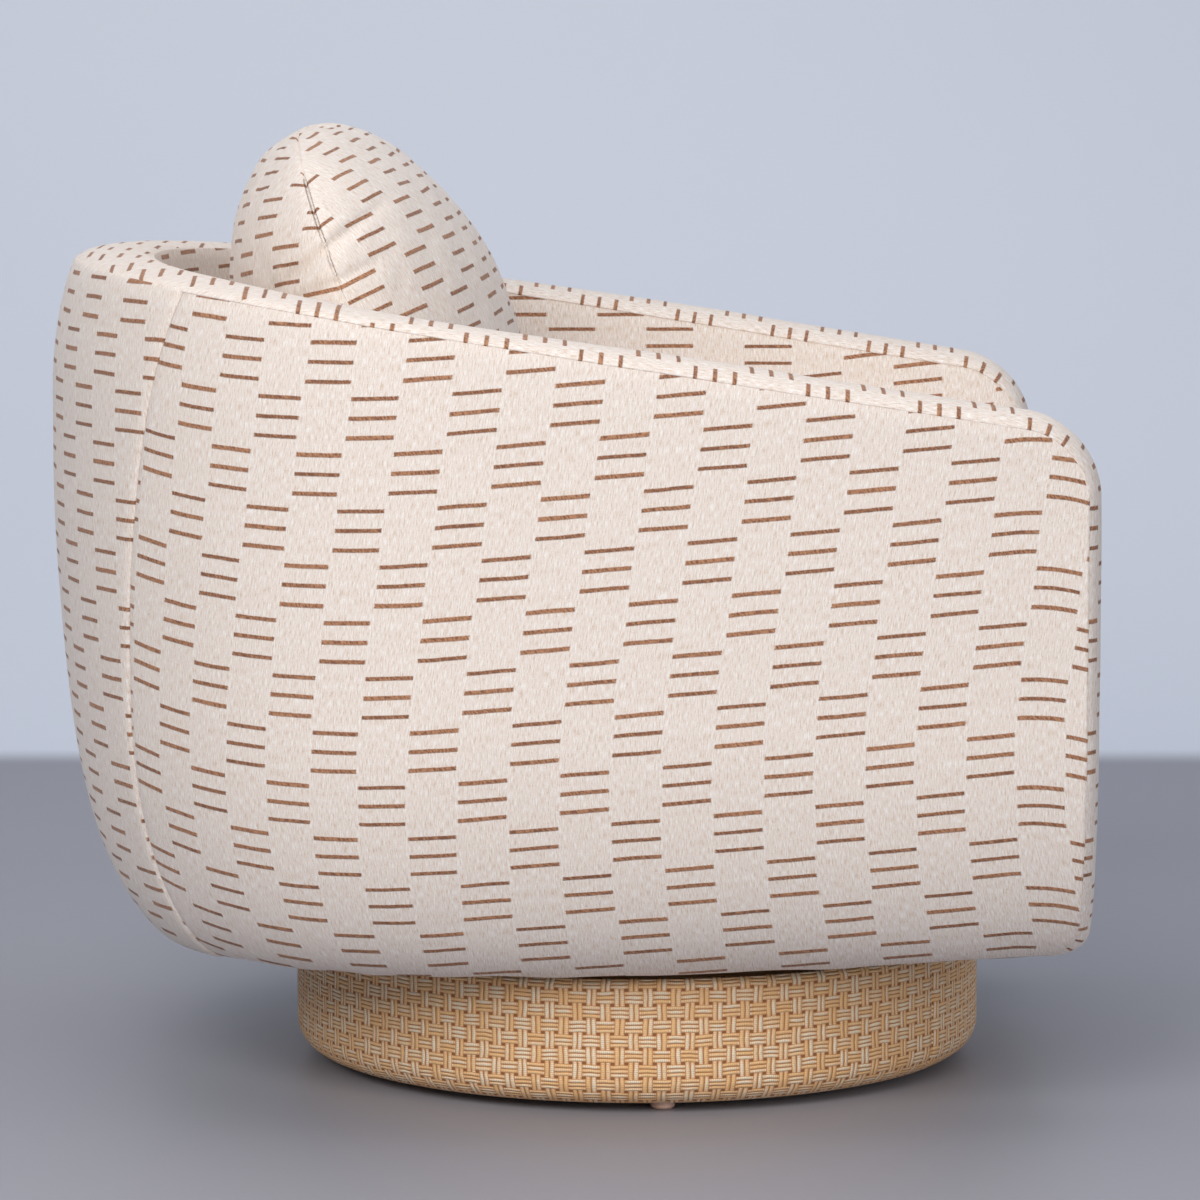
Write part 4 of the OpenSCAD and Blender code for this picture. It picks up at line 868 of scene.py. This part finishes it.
def band_place(share, s):
    c = 2 * s - 1
    point = band_point(share, c * 0.995, -seam_roll(s, 66, 5, 2.2) + 0.9)
    return point + edge_at(share)[2] * hand(*point, 0.5, 60)


turn_place = max(range(edge_count), key=lambda k: (edge_side[k].y < turn_reach, k))


def band_lay(share, s):
    from_foot = min(share, 1 - share) * edge_whole
    middle, across, _ = edge_at(share)
    beside, run = band_half * (2 * s - 1), from_foot * band_stretch
    if middle.y > turn_reach:
        spot = middle + across * beside
        beside = abs(spot.x) - edge_side[turn_place].x
        run = edge_run[turn_place] * band_stretch + spot.y - turn_reach
    return beside + band_start[0], run + band_start[1] - edge_whole


band_stops = [0, 0.0012, 0.003]
band_stops += [0.003 + 0.994 * k / 420 for k in range(1, 420)] + [0.997, 0.9988, 1]
band = grid_panel("rim_band_cover", band_stops, band_lines, band_place,
                  band_lay, cover_cloth, outside=-1)
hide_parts("rim_band")
print("rim band, faces:", len(band.data.polygons))

# %% [markdown]
# ## The front border
# The border is the panel under the seat cushion, between the arm fronts. It turns under
# at the lower edge, and at the top it lies back over the deck for 45 mm, under the cushion.

# %% Front border
border_lip = lip_line(-arm_reach)
flap, flap_share = 45, 0.14
under_from, under_part, border_swell = 0.86, 0.14, 5


def border_edge(z):
    if z > inner_foot:
        return plan(1)[0] - wall - arm_swell - 0.5
    return plan(1)[0] - inset(1, z) - wall - 0.5


def border_place(s, r):
    over_deck = flap * max(0, 1 - r / flap_share)
    r = max(0, (r - flap_share) / (1 - flap_share))
    z = mix(deck_height + 0.3, border_lip + foot_round, min(1, r / under_from))
    turn = max(0, (r - under_from) / under_part) * math.pi / 2
    half = border_edge(z - foot_round * math.sin(turn))
    swell = border_swell * (1 - abs(2 * s - 1) ** 4) * math.sin(math.pi * min(1, r / 0.93))
    y = -arm_reach + foot_round * (1 - math.cos(turn)) - swell
    y += seam_roll(s, 600, 6, 3) + over_deck
    return Vector(((2 * s - 1) * half, y, z - foot_round * math.sin(turn)))


def border_lay(s, r):
    return (2 * s - 1) * 305 + 9, deck_height + flap - (210 + flap) * r


border_rows = sorted(set(lines(32) + [flap_share * k for k in (0.90, 0.96, 1.0, 1.04, 1.10)]))
border = grid_panel(
    "front_border_cover", lines(96), border_rows, border_place, border_lay, cover_cloth)
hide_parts("front_border")

# %% [markdown]
# ## The plinth cover
# The plinth is a low drum wrapped in basket cloth. The cloth turns in under the lower
# edge, and its two ends meet in one upright seam at the front right of the drum.

# %% Plinth cover
plinth_radius, plinth_low, plinth_high = 291, 6.5, 111.5
plinth_round, top_round, under_run = 24, 6, 22.0
seam_angle = math.atan2(-245, -158)
plinth_run = 2 * math.pi * plinth_radius


def plinth_section(r):
    """Radius and height: r is 0 under the drum and 1 at its top edge."""
    under, corner, top = under_run, plinth_round * math.pi / 2, top_round * math.pi / 2
    straight = plinth_high - plinth_low - plinth_round - top_round
    d = r * (under + corner + straight + top)
    if d < under:
        return plinth_radius - plinth_round - under + d, plinth_low
    if d < under + corner:
        a = (d - under) / plinth_round
        return (plinth_radius - plinth_round * (1 - math.sin(a)),
                plinth_low + plinth_round * (1 - math.cos(a)))
    if d < under + corner + straight:
        return plinth_radius, plinth_low + plinth_round + d - under - corner
    a = (d - under - corner - straight) / top_round
    return (plinth_radius - top_round * (1 - math.cos(a)),
            plinth_high - top_round + top_round * math.sin(a))


def plinth_place(s, r):
    radius, z = plinth_section(r)
    a = seam_angle + 2 * math.pi * s
    near = min(s, 1 - s) * plinth_run
    radius += 0.8 * math.exp(-((near - 5) / 4) ** 2) - 2.4 * math.exp(-(near / 1.6) ** 2)
    radius += hand(radius * math.cos(a), radius * math.sin(a), z, 0.8, 90)
    return Vector((radius * math.cos(a), radius * math.sin(a), z))


def plinth_lay(s, r):
    return s * plinth_run, r * 145


plinth_cover = grid_panel(
    "plinth_cover_cloth", lines(300, 0.0008), lines(26, 0.02), plinth_place, plinth_lay,
    plinth_cloth, body="base", closed=True,
)
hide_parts("plinth_cover")
print("plinth cover, faces:", len(plinth_cover.data.polygons))

# %% [markdown]
# ## The seat cushion
# The cushion is a box cushion: a top and a bottom panel, joined by a boxing strip with
# plain seams. It starts from the CAD cushion, and a cloth simulation blows it up as its
# filling would. The two seams are pulled in afterwards, because a remesh can't keep a line
# that is thinner than its own cells. Each panel's map runs over its edge to the seam.


# %% Stuffing a cushion by simulation
def merged_copy(node, name):
    """A copy of a CAD node's mesh with its loose triangles joined."""
    bm = bmesh.new()
    bm.from_mesh(nodes[node].data)
    bmesh.ops.remove_doubles(bm, verts=bm.verts, dist=0.00001)
    bmesh.ops.recalc_face_normals(bm, faces=bm.faces)
    return new_object(name, bm, body=None)


def skin_of(mesh):
    bm = bmesh.new()
    bm.from_mesh(mesh)
    skin = BVHTree.FromBMesh(bm)
    bm.free()
    return skin


def apply_modifier(piece, name):
    bpy.context.view_layer.objects.active = piece
    bpy.ops.object.modifier_apply(modifier=name)


def even_cells(piece, size, smooth=8):
    remesh = piece.modifiers.new("even_cells", "REMESH")
    remesh.mode, remesh.voxel_size = "VOXEL", size
    apply_modifier(piece, "even_cells")
    ease = piece.modifiers.new("ease", "SMOOTH")
    ease.iterations = smooth
    apply_modifier(piece, "ease")


def fill(piece, pressure, frames, cap):
    """Blow a cover up for some frames, and keep every point within cap of where it was."""
    start = [v.co.copy() for v in piece.data.vertices]
    sim = piece.modifiers.new("filling", "CLOTH")
    sim.settings.quality = 6
    sim.settings.mass = 0.3
    sim.settings.tension_stiffness = 15
    sim.settings.compression_stiffness = 15
    sim.settings.shear_stiffness = 5
    sim.settings.bending_stiffness = 0.5
    sim.settings.use_pressure = True
    sim.settings.uniform_pressure_force = pressure
    sim.settings.effector_weights.gravity = 0
    sim.collision_settings.use_self_collision = False
    scene = bpy.context.scene
    for frame_number in range(1, frames + 1):
        scene.frame_set(frame_number)
    apply_modifier(piece, "filling")
    scene.frame_set(1)
    for vert, first in zip(piece.data.vertices, start):
        move = vert.co - first
        if move.length > cap:
            vert.co = first + move * (cap / move.length)


# %% Seat cushion
seam_low, seam_high, cushion_top = 328.1, 440.1, 466.1
groove_depth, groove_width = 4.0, 3.4
edge_fall = 0.026
cushion_front = -arm_reach + cloth * 3
cushion = merged_copy("seat_cushion", "seat_cushion_cover")
even_cells(cushion, 0.0075)
fill(cushion, pressure=3.0, frames=14, cap=0.012)


def seat_outline_half(y):
    """Half the inside width at y, down at the deck, in mm."""
    best = 0
    for k in range(101):
        t = mix(0.03, 1, k / 100)
        point = inner(t, 1)
        if abs(point.y - y) < 12:
            best = max(best, point.x)
    return best


half_from, half_to, half_step = -360, 390, 10
half_at = {y: seat_outline_half(y) for y in range(half_from, half_to + 1, half_step)}


def inside_half(y):
    y = max(half_from, min(half_to - 1, y))
    low = math.floor(y / half_step) * half_step
    high = min(half_to - half_step, low + half_step)
    return mix(half_at[low], half_at[high], (y - low) / half_step)


bm = bmesh.new()
bm.from_mesh(cushion.data)
for vert in bm.verts:
    point = vert.co * 1000 - Vector((0, axis_y, 0))
    edge = inside_half(point.y) - 1.2
    if abs(point.x) > edge and point.y < 250:
        point.x = math.copysign(edge, point.x)
    point.y = max(point.y, cushion_front - 12)
    point.z = max(point.z, deck_height + 0.4)
    for seam in (seam_low, seam_high):
        groove = math.exp(-((point.z - seam) / groove_width) ** 2) * groove_depth
        normal = vert.normal
        if abs(normal.z) < 0.95:
            point -= Vector((normal.x, normal.y, 0)) * groove
    vert.co = metres(point)
bmesh.ops.recalc_face_normals(bm, faces=bm.faces)
bm.normal_update()
layer = bm.loops.layers.uv.new("cloth")
for face in bm.faces:
    face.smooth = True
    flat = not seam_low < face.calc_center_median().z * 1000 < seam_high
    for loop in face.loops:
        x, y, z = loop.vert.co
        if flat:
            over = Vector(loop.vert.normal[:2]) * min(abs(z - cushion_top / 1000), edge_fall)
            loop[layer].uv = (x + over.x + 0.012, y + over.y)
        elif abs(face.normal.y) > abs(face.normal.x):
            loop[layer].uv = (x, z)
        else:
            loop[layer].uv = (math.copysign(y, face.normal.x), z)
bm.to_mesh(cushion.data)
bm.free()
cushion.data.materials.append(cover_cloth)
finer = cushion.modifiers.new("finer", "SUBSURF")
finer.levels = finer.render_levels = 1
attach(cushion, "seat")
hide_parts("seat_cushion")
print("seat cushion, faces:", len(cushion.data.polygons))

# %% [markdown]
# ## The back pillow
# The pillow is two panels sewn together all round, with no strip between them. Its
# corners are cut round, so it has no ears, and the filling settles, so the front is
# deepest below its middle. Each panel starts as a flat grid that is brought to a plump
# form, and the two are joined at their rim. The map of each panel is flattened from that
# form with as little stretch as can be, which is how its flat cloth was cut.

# %% Back pillow
pillow_half = Vector((0.300, 0.113, 0.176))
corner_power = 2.7


def pillow_point(x, y, side):
    """A point of one panel: x and y run from -1 to 1 over its square grid."""
    x = x or 0.000001
    ring = max(abs(x), abs(y))
    far = 1 - (1 - ring) ** 1.8
    square = abs(x / ring) ** corner_power + abs(y / ring) ** corner_power
    cut = far / ring / square ** (1 / corner_power)
    along, up = x * cut, y * cut
    settled = up + (0.12 * (1 - far * far) if side > 0 else 0)
    far = min(1, (abs(along) ** corner_power + abs(settled) ** corner_power) ** (1 / corner_power))
    return Vector((along, -side * (1 - far ** 2.2) ** 0.66, up)) * pillow_half


bm = bmesh.new()
panel_mark = bm.faces.layers.int.new("panel")
bm.loops.layers.uv.new("cloth")
for side in (1, -1):
    made = bmesh.ops.create_grid(bm, x_segments=80, y_segments=52, size=1)["verts"]
    faces = list({f for v in made for f in v.link_faces})
    for face in faces:
        face[panel_mark] = side
    for vert in made:
        vert.co = pillow_point(vert.co.x, vert.co.y, side)
bmesh.ops.remove_doubles(bm, verts=bm.verts, dist=0.0001)
for edge in bm.edges:
    edge.seam = len({face[panel_mark] for face in edge.link_faces}) == 2
bmesh.ops.recalc_face_normals(bm, faces=bm.faces)
pillow = new_object("back_pillow_cover", bm, cover_cloth)
print("pillow, faces:", len(pillow.data.polygons),
      "seam edges:", sum(edge.use_seam for edge in pillow.data.edges))

# %% Flatten the pillow's panels
bpy.ops.object.select_all(action="DESELECT")
pillow.select_set(True)
bpy.context.view_layer.objects.active = pillow
bpy.ops.object.mode_set(mode="EDIT")
bpy.ops.mesh.select_all(action="SELECT")
bpy.ops.uv.unwrap(method="MINIMUM_STRETCH")
bpy.ops.object.mode_set(mode="OBJECT")


def lay_flat(piece, side, dash_height):
    """Turn and scale one panel's map to metres; the end seam meets a dash at dash_height."""
    mesh, flat = piece.data, piece.data.uv_layers["cloth"].data
    loops = [k for face, mark in zip(mesh.polygons, mesh.attributes["panel"].data)
             if mark.value == side for k in face.loop_indices]
    spot = {k: mesh.vertices[mesh.loops[k].vertex_index].co for k in loops}
    near = [k for k in loops if abs(spot[k].x) < 0.12 and abs(spot[k].z) < 0.07]
    real = {k: complex(side * spot[k].x, spot[k].z) for k in near}
    laid = {k: complex(*flat[k].uv) for k in loops}
    real_mid = sum(real.values()) / len(near)
    laid_mid = sum(laid[k] for k in near) / len(near)
    turn = sum((real[k] - real_mid) * (laid[k] - laid_mid).conjugate() for k in near)
    turn /= sum(abs(laid[k] - laid_mid) ** 2 for k in near)
    rim = {v for edge in mesh.edges if edge.use_seam for v in edge.vertices}
    anchor = min((k for k in loops if mesh.loops[k].vertex_index in rim and spot[k].x < 0),
                 key=lambda k: abs(spot[k].z - dash_height))
    start = complex(-side * dash_length / 2, first_dash + 2 * dash_step)
    for k in loops:
        place = (laid[k] - laid[anchor]) * turn + start
        flat[k].uv = (place.real, place.imag)
    print("panel", side, "scale:", round(abs(turn), 3))


end_dash_height = 0.049
for side in (1, -1):
    lay_flat(pillow, side, end_dash_height)

# %% Fill the pillow
fill(pillow, pressure=2.0, frames=12, cap=0.008)
finer = pillow.modifiers.new("finer", "SUBSURF")
finer.levels = finer.render_levels = 1
apply_modifier(pillow, "finer")

# %% [markdown]
# ## Leaning the pillow
# A narrow strip is bevelled along the seam and its middle line is pulled in, which is how
# a sewn seam looks once the cushion is full. Two slack folds cross the seam at the end.
# The pillow is leaned back by 20 degrees and set down. Where it meets the seat cushion or
# the inside back it flattens, because both are as soft as the pillow.

# %% Seam and folds
# Height, slope, width, reach to both sides of the seam, and depth, in metres.
pillow_folds = [(0.078, 0.32, 0.0050, 0.070, 0.0085), (0.052, 0.12, 0.0045, 0.050, 0.00425)]
seam_half, seam_depth = 0.0012, 0.0022
bm = bmesh.new()
bm.from_mesh(pillow.data)
seam = [edge for edge in bm.edges if edge.seam]
made = bmesh.ops.bevel(
    bm, geom=seam, offset=seam_half, segments=2, profile=0.5, affect="EDGES")
strip = set(made["faces"])
middle_line = {v for v in made["verts"] if all(face in strip for face in v.link_faces)}
for vert in bm.verts:
    x, y, z = vert.co
    end = max(0, min(1, (abs(x) - 0.17) / 0.06))
    fold = sum(
        depth * math.exp(-((z - height + slope * y) / width) ** 2) * max(0, 1 - (y / reach) ** 2)
        for height, slope, width, reach, depth in pillow_folds
    ) * end * (x < 0)
    slack = 0.0016 * noise.noise(vert.co * 26) + 0.0008 * noise.noise(vert.co * 70)
    pull = vert.normal * seam_depth if vert in middle_line else Vector((0, 0, 0))
    vert.co += vert.co.normalized() * slack - pull + Vector((fold, 0, 0))
bm.to_mesh(pillow.data)
bm.free()
for face in pillow.data.polygons:
    face.use_smooth = True
print("seam's middle line:", len(middle_line), "points")

# %% Seat the pillow
pillow_lean = math.radians(20)
pillow_up = Vector((0, math.sin(pillow_lean), math.cos(pillow_lean)))
pillow_front = Vector((0, -math.cos(pillow_lean), math.sin(pillow_lean)))
pillow_mid = metres((0, 221.1, 622))
bpy.context.view_layer.update()
cushion_skin = BVHTree.FromObject(cushion, bpy.context.evaluated_depsgraph_get())


def inside_y(x, z):
    """The inside back's face at x and z, in mm from the swivel axis."""
    w = max(0, min(1, (rim_z(back_y) - z) / (rim_z(back_y) - inner_foot)))
    ease = inner_ease(w)
    deep = wall + rim_inset(0) * (1 - ease) + ease * back_swell + 5
    half = half_width - wall - arm_swell
    bow = max(0, 1 - (abs(x) / half) ** plan_power) ** (1 / plan_power)
    return turn_reach + (back_bow - deep) * bow


def cushion_z(x, y):
    hit = cushion_skin.ray_cast(Vector((x, y, 1)), Vector((0, 0, -1)))[0]
    return hit.z if hit else 0.3


points = [v.co.copy() for v in pillow.data.vertices]
low = Vector([min(p[k] for p in points) for k in range(3)])
high = Vector([max(p[k] for p in points) for k in range(3)])
scale = [2 * half / (h - l) for half, l, h in zip(pillow_half, low, high)]
middle = (low + high) / 2
for vert, point in zip(pillow.data.vertices, points):
    x, y, z = ((point[k] - middle[k]) * scale[k] for k in range(3))
    place = pillow_mid + Vector((x, 0, 0)) + pillow_up * z - pillow_front * y
    place.y = min(place.y, (inside_y(place.x * 1000, place.z * 1000) + axis_y) / 1000)
    place.z = max(place.z, cushion_z(place.x, place.y) + 0.0006)
    vert.co = place
print("pillow as filled, m:", [round(c, 3) for c in high - low])
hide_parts("back_pillow")

# %% [markdown]
# ## The rock springs
# Four steel springs bring the chair back to rest. Each is wire wound on a mandrel, so it
# is made the same way: a round section is spun about the spring's axis while it climbs.
# The first and the last turn lie almost flat, and these close the spring's ends.

# %% Wound springs
spring_low, spring_high, spring_wire, spring_radius = 0.1313, 0.1797, 0.0025, 0.0145
spring_x, end_lead, spring_turns = 0.04205, spring_wire * 2.3, 5
spring_rise = spring_high - spring_low - 2 * spring_wire


def wound_spring(bm, x, y):
    bottom = spring_low + spring_wire
    ring = bmesh.ops.create_circle(bm, segments=10, radius=spring_wire, cap_ends=True)["verts"]
    start = Matrix.Translation((x + spring_radius, y, bottom))
    bmesh.ops.transform(bm, verts=ring, matrix=start @ Matrix.Rotation(math.pi / 2, 4, "X"))
    faces = list({f for v in ring for f in v.link_faces})
    middle_turns = (spring_turns, spring_rise - 2 * end_lead)
    for turns, climb in ((1, end_lead), middle_turns, (1, end_lead)):
        steps = 28 * turns
        made = bmesh.ops.spin(
            bm, geom=faces, cent=(x, y, 0), axis=(0, 0, 1), dvec=(0, 0, climb / steps),
            angle=2 * math.pi * turns, steps=steps,
        )["geom_last"]
        faces = [g for g in made if isinstance(g, bmesh.types.BMFace)]


for name, y in (("rock_springs_front", -0.1383), ("rock_springs_rear", 0.0101)):
    bm = bmesh.new()
    for x in (-spring_x, spring_x):
        wound_spring(bm, x, y)
    bmesh.ops.recalc_face_normals(bm, faces=bm.faces)
    springs = new_object("wound_" + name, bm, wire, None)
    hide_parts(name)
    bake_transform(springs)
    print(springs.name, "faces:", len(springs.data.polygons))

# %% [markdown]
# ## Foam and wadding
# What lies under the covers is cut from slabs. Its edges are knocked round by handling
# and by the pull of the cover, so each piece is a joined copy of its CAD solid with its
# hard edges bevelled. The wadding on the rim is pressed down until it lies under the band.

# %% Softened fillings
fillings = {
    "plinth_padding": ("base", wadding, "wadding", 0.3),
    "arm_wadding": ("seat", wadding, "wadding", 0.3),
    "back_wadding": ("seat", wadding, "wadding", 0.3),
    "rim_padding": ("seat", wadding, "wadding", 0.5),
    "arm_foam_left": ("seat", foam, "foam", 0.8),
    "arm_foam_right": ("seat", foam, "foam", 0.8),
    "back_foam": ("seat", foam, "foam", 0.8),
    "front_padding": ("seat", foam, "foam", 0.7),
}
under_band = 0.0026
band_skin = skin_of(band.data)
for name, (body, material, slot, fill) in fillings.items():
    piece = merged_copy(name, "soft_" + name)
    if name == "rim_padding":
        for vert in piece.data.vertices:
            vert.co.z = max(vert.co.z, (lip_z(vert.co.y * 1000 - axis_y) + 1) / 1000)
            near, normal, _, _ = band_skin.find_nearest(vert.co)
            above = (vert.co - near).dot(normal) + under_band
            if above > 0:
                vert.co -= normal * above
    piece.data.materials.clear()
    piece.data.materials.append(material)
    soft = piece.modifiers.new("soft_edges", "BEVEL")
    soft.width, soft.segments, soft.limit_method = 0.002, 2, "ANGLE"
    soft.angle_limit = math.radians(40)
    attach(piece, body)
    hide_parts(name)
print("softened fillings:", len(fillings))

# %% [markdown]
# ## The deck and the dust cloth
# The deck cloth is stretched over the seat springs, under the cushion. The dust cloth
# closes the frame from below, round the opening for the plinth. Both are laid as rings
# of cloth from an inner line to the outer line of their solids, found by looking
# outwards from the swivel axis.


# %% Linings
def lining(name, body, tone):
    skin = skin_of(nodes[name].data)
    low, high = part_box(name)
    level_z = (low[2] + high[2]) / 2

    def walls(angle):
        out, start, found = Vector((math.cos(angle), math.sin(angle), 0)), 0.0, []
        while len(found) < 2:
            hit = skin.ray_cast(Vector((0, axis_y / 1000, level_z)) + out * start, out)
            if hit[0] is None:
                break
            found.append(start + hit[3])
            start += hit[3] + 0.0005
        return (0.0, found[0]) if len(found) == 1 else found[:2]

    stops = [k / 240 for k in range(241)]
    reach = {s: walls(2 * math.pi * (s % 1) + 0.0001) for s in stops}

    def place(s, r):
        a, (inner_end, outer_end) = 2 * math.pi * (s % 1), reach[s]
        out = mix(inner_end, outer_end, r) * 1000
        x, y = out * math.cos(a), out * math.sin(a)
        return Vector((x, y, high[2] * 1000 - 0.1 + 0.15 * noise.noise(Vector((x, y, 0)) / 40)))

    piece = grid_panel(
        name + "_sheet", stops, [k / 24 for k in range(25)], place,
        lambda s, r: (place(s, r).x, place(s, r).y), tone, body, closed=True,
    )
    piece.modifiers["cloth_thickness"].thickness = 0.0012
    area = sum(face.area for face in piece.data.polygons)
    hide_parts(name)
    return piece, area, high[0] - low[0], high[1] - low[1]


deck, area, width, length = lining("deck_cloth", "seat", black_cloth)
dust, area, width, length = lining("dust_cloth", "seat", black_cloth)
max(area, 0.31 * width * length)

# %% [markdown]
# ## The stage
# The chair stands on a plain floor that rises behind it in one curve. The floor is grey and
# the wall is pale, and their line is where the curve starts. The light is a large soft box
# over the camera's left, a weaker one on its right, a third overhead, and a pale world that
# fills the shade.

# %% Floor and backdrop
stage_finish = Finish("stage_paint", 0.55)
x, y, z = stage_finish.place()
wall_share = stage_finish.step(z, 0.0, 0.004)
mottle = stage_finish.noise(x * 1.2, y * 1.2, z * 1.2, 4.0)
stage_finish.set("Base Color", stage_finish.mix(
    wall_share, linear(158, 158, 166), linear(235, 240, 250)))
stage_finish.set("Roughness", 0.42 + mottle * 0.12)

bm = bmesh.new()
bmesh.ops.create_grid(bm, x_segments=96, y_segments=4, size=0.5)
stage_start, stage_run, stage_width = -6.0, 11.0, 12
cove_start, cove_radius = 1.7, 1.1
for vert in bm.verts:
    d = (vert.co.x + 0.5) * stage_run + stage_start
    bend = max(0, min(math.pi / 2, (d - cove_start) / cove_radius))
    flat = min(d, cove_start) + cove_radius * math.sin(bend)
    up = cove_radius * (1 - math.cos(bend))
    up += max(0, d - cove_start - cove_radius * math.pi / 2)
    vert.co = (flat, vert.co.y * stage_width, up - 0.0005)
backdrop = new_object("backdrop", bm, stage_finish.material, None)


# %% Lights
def soft_box(name, place, look_at, size, watts, tone=(1, 1, 1)):
    light = bpy.data.lights.new(name, "AREA")
    light.shape, light.size, light.size_y = "RECTANGLE", *size
    light.energy, light.color = watts, tone
    box = bpy.data.objects.new(name, light)
    box.location = place
    box.rotation_euler = (Vector(look_at) - Vector(place)).to_track_quat("-Z", "Y").to_euler()
    bpy.context.collection.objects.link(box)


soft_box("key_box", (-2.9, 1.1, 2.1), (0, 0, 0.35), (1.8, 1.8), 68, (1.0, 0.98, 0.95))
soft_box("fill_box", (-2.9, -1.8, 0.9), (0, 0, 0.3), (1.6, 1.2), 21, (1.0, 0.99, 0.98))
soft_box("top_box", (0.2, 0.0, 3.0), (0, 0, 0), (2.4, 2.4), 24)
world = bpy.data.worlds.new("soft_room")
bpy.context.scene.world = world
world.use_nodes = True
world.node_tree.nodes["Background"].inputs["Color"].default_value = linear(196, 201, 212)
world.node_tree.nodes["Background"].inputs["Strength"].default_value = 0.55
bpy.context.scene.view_settings.view_transform = "Standard"
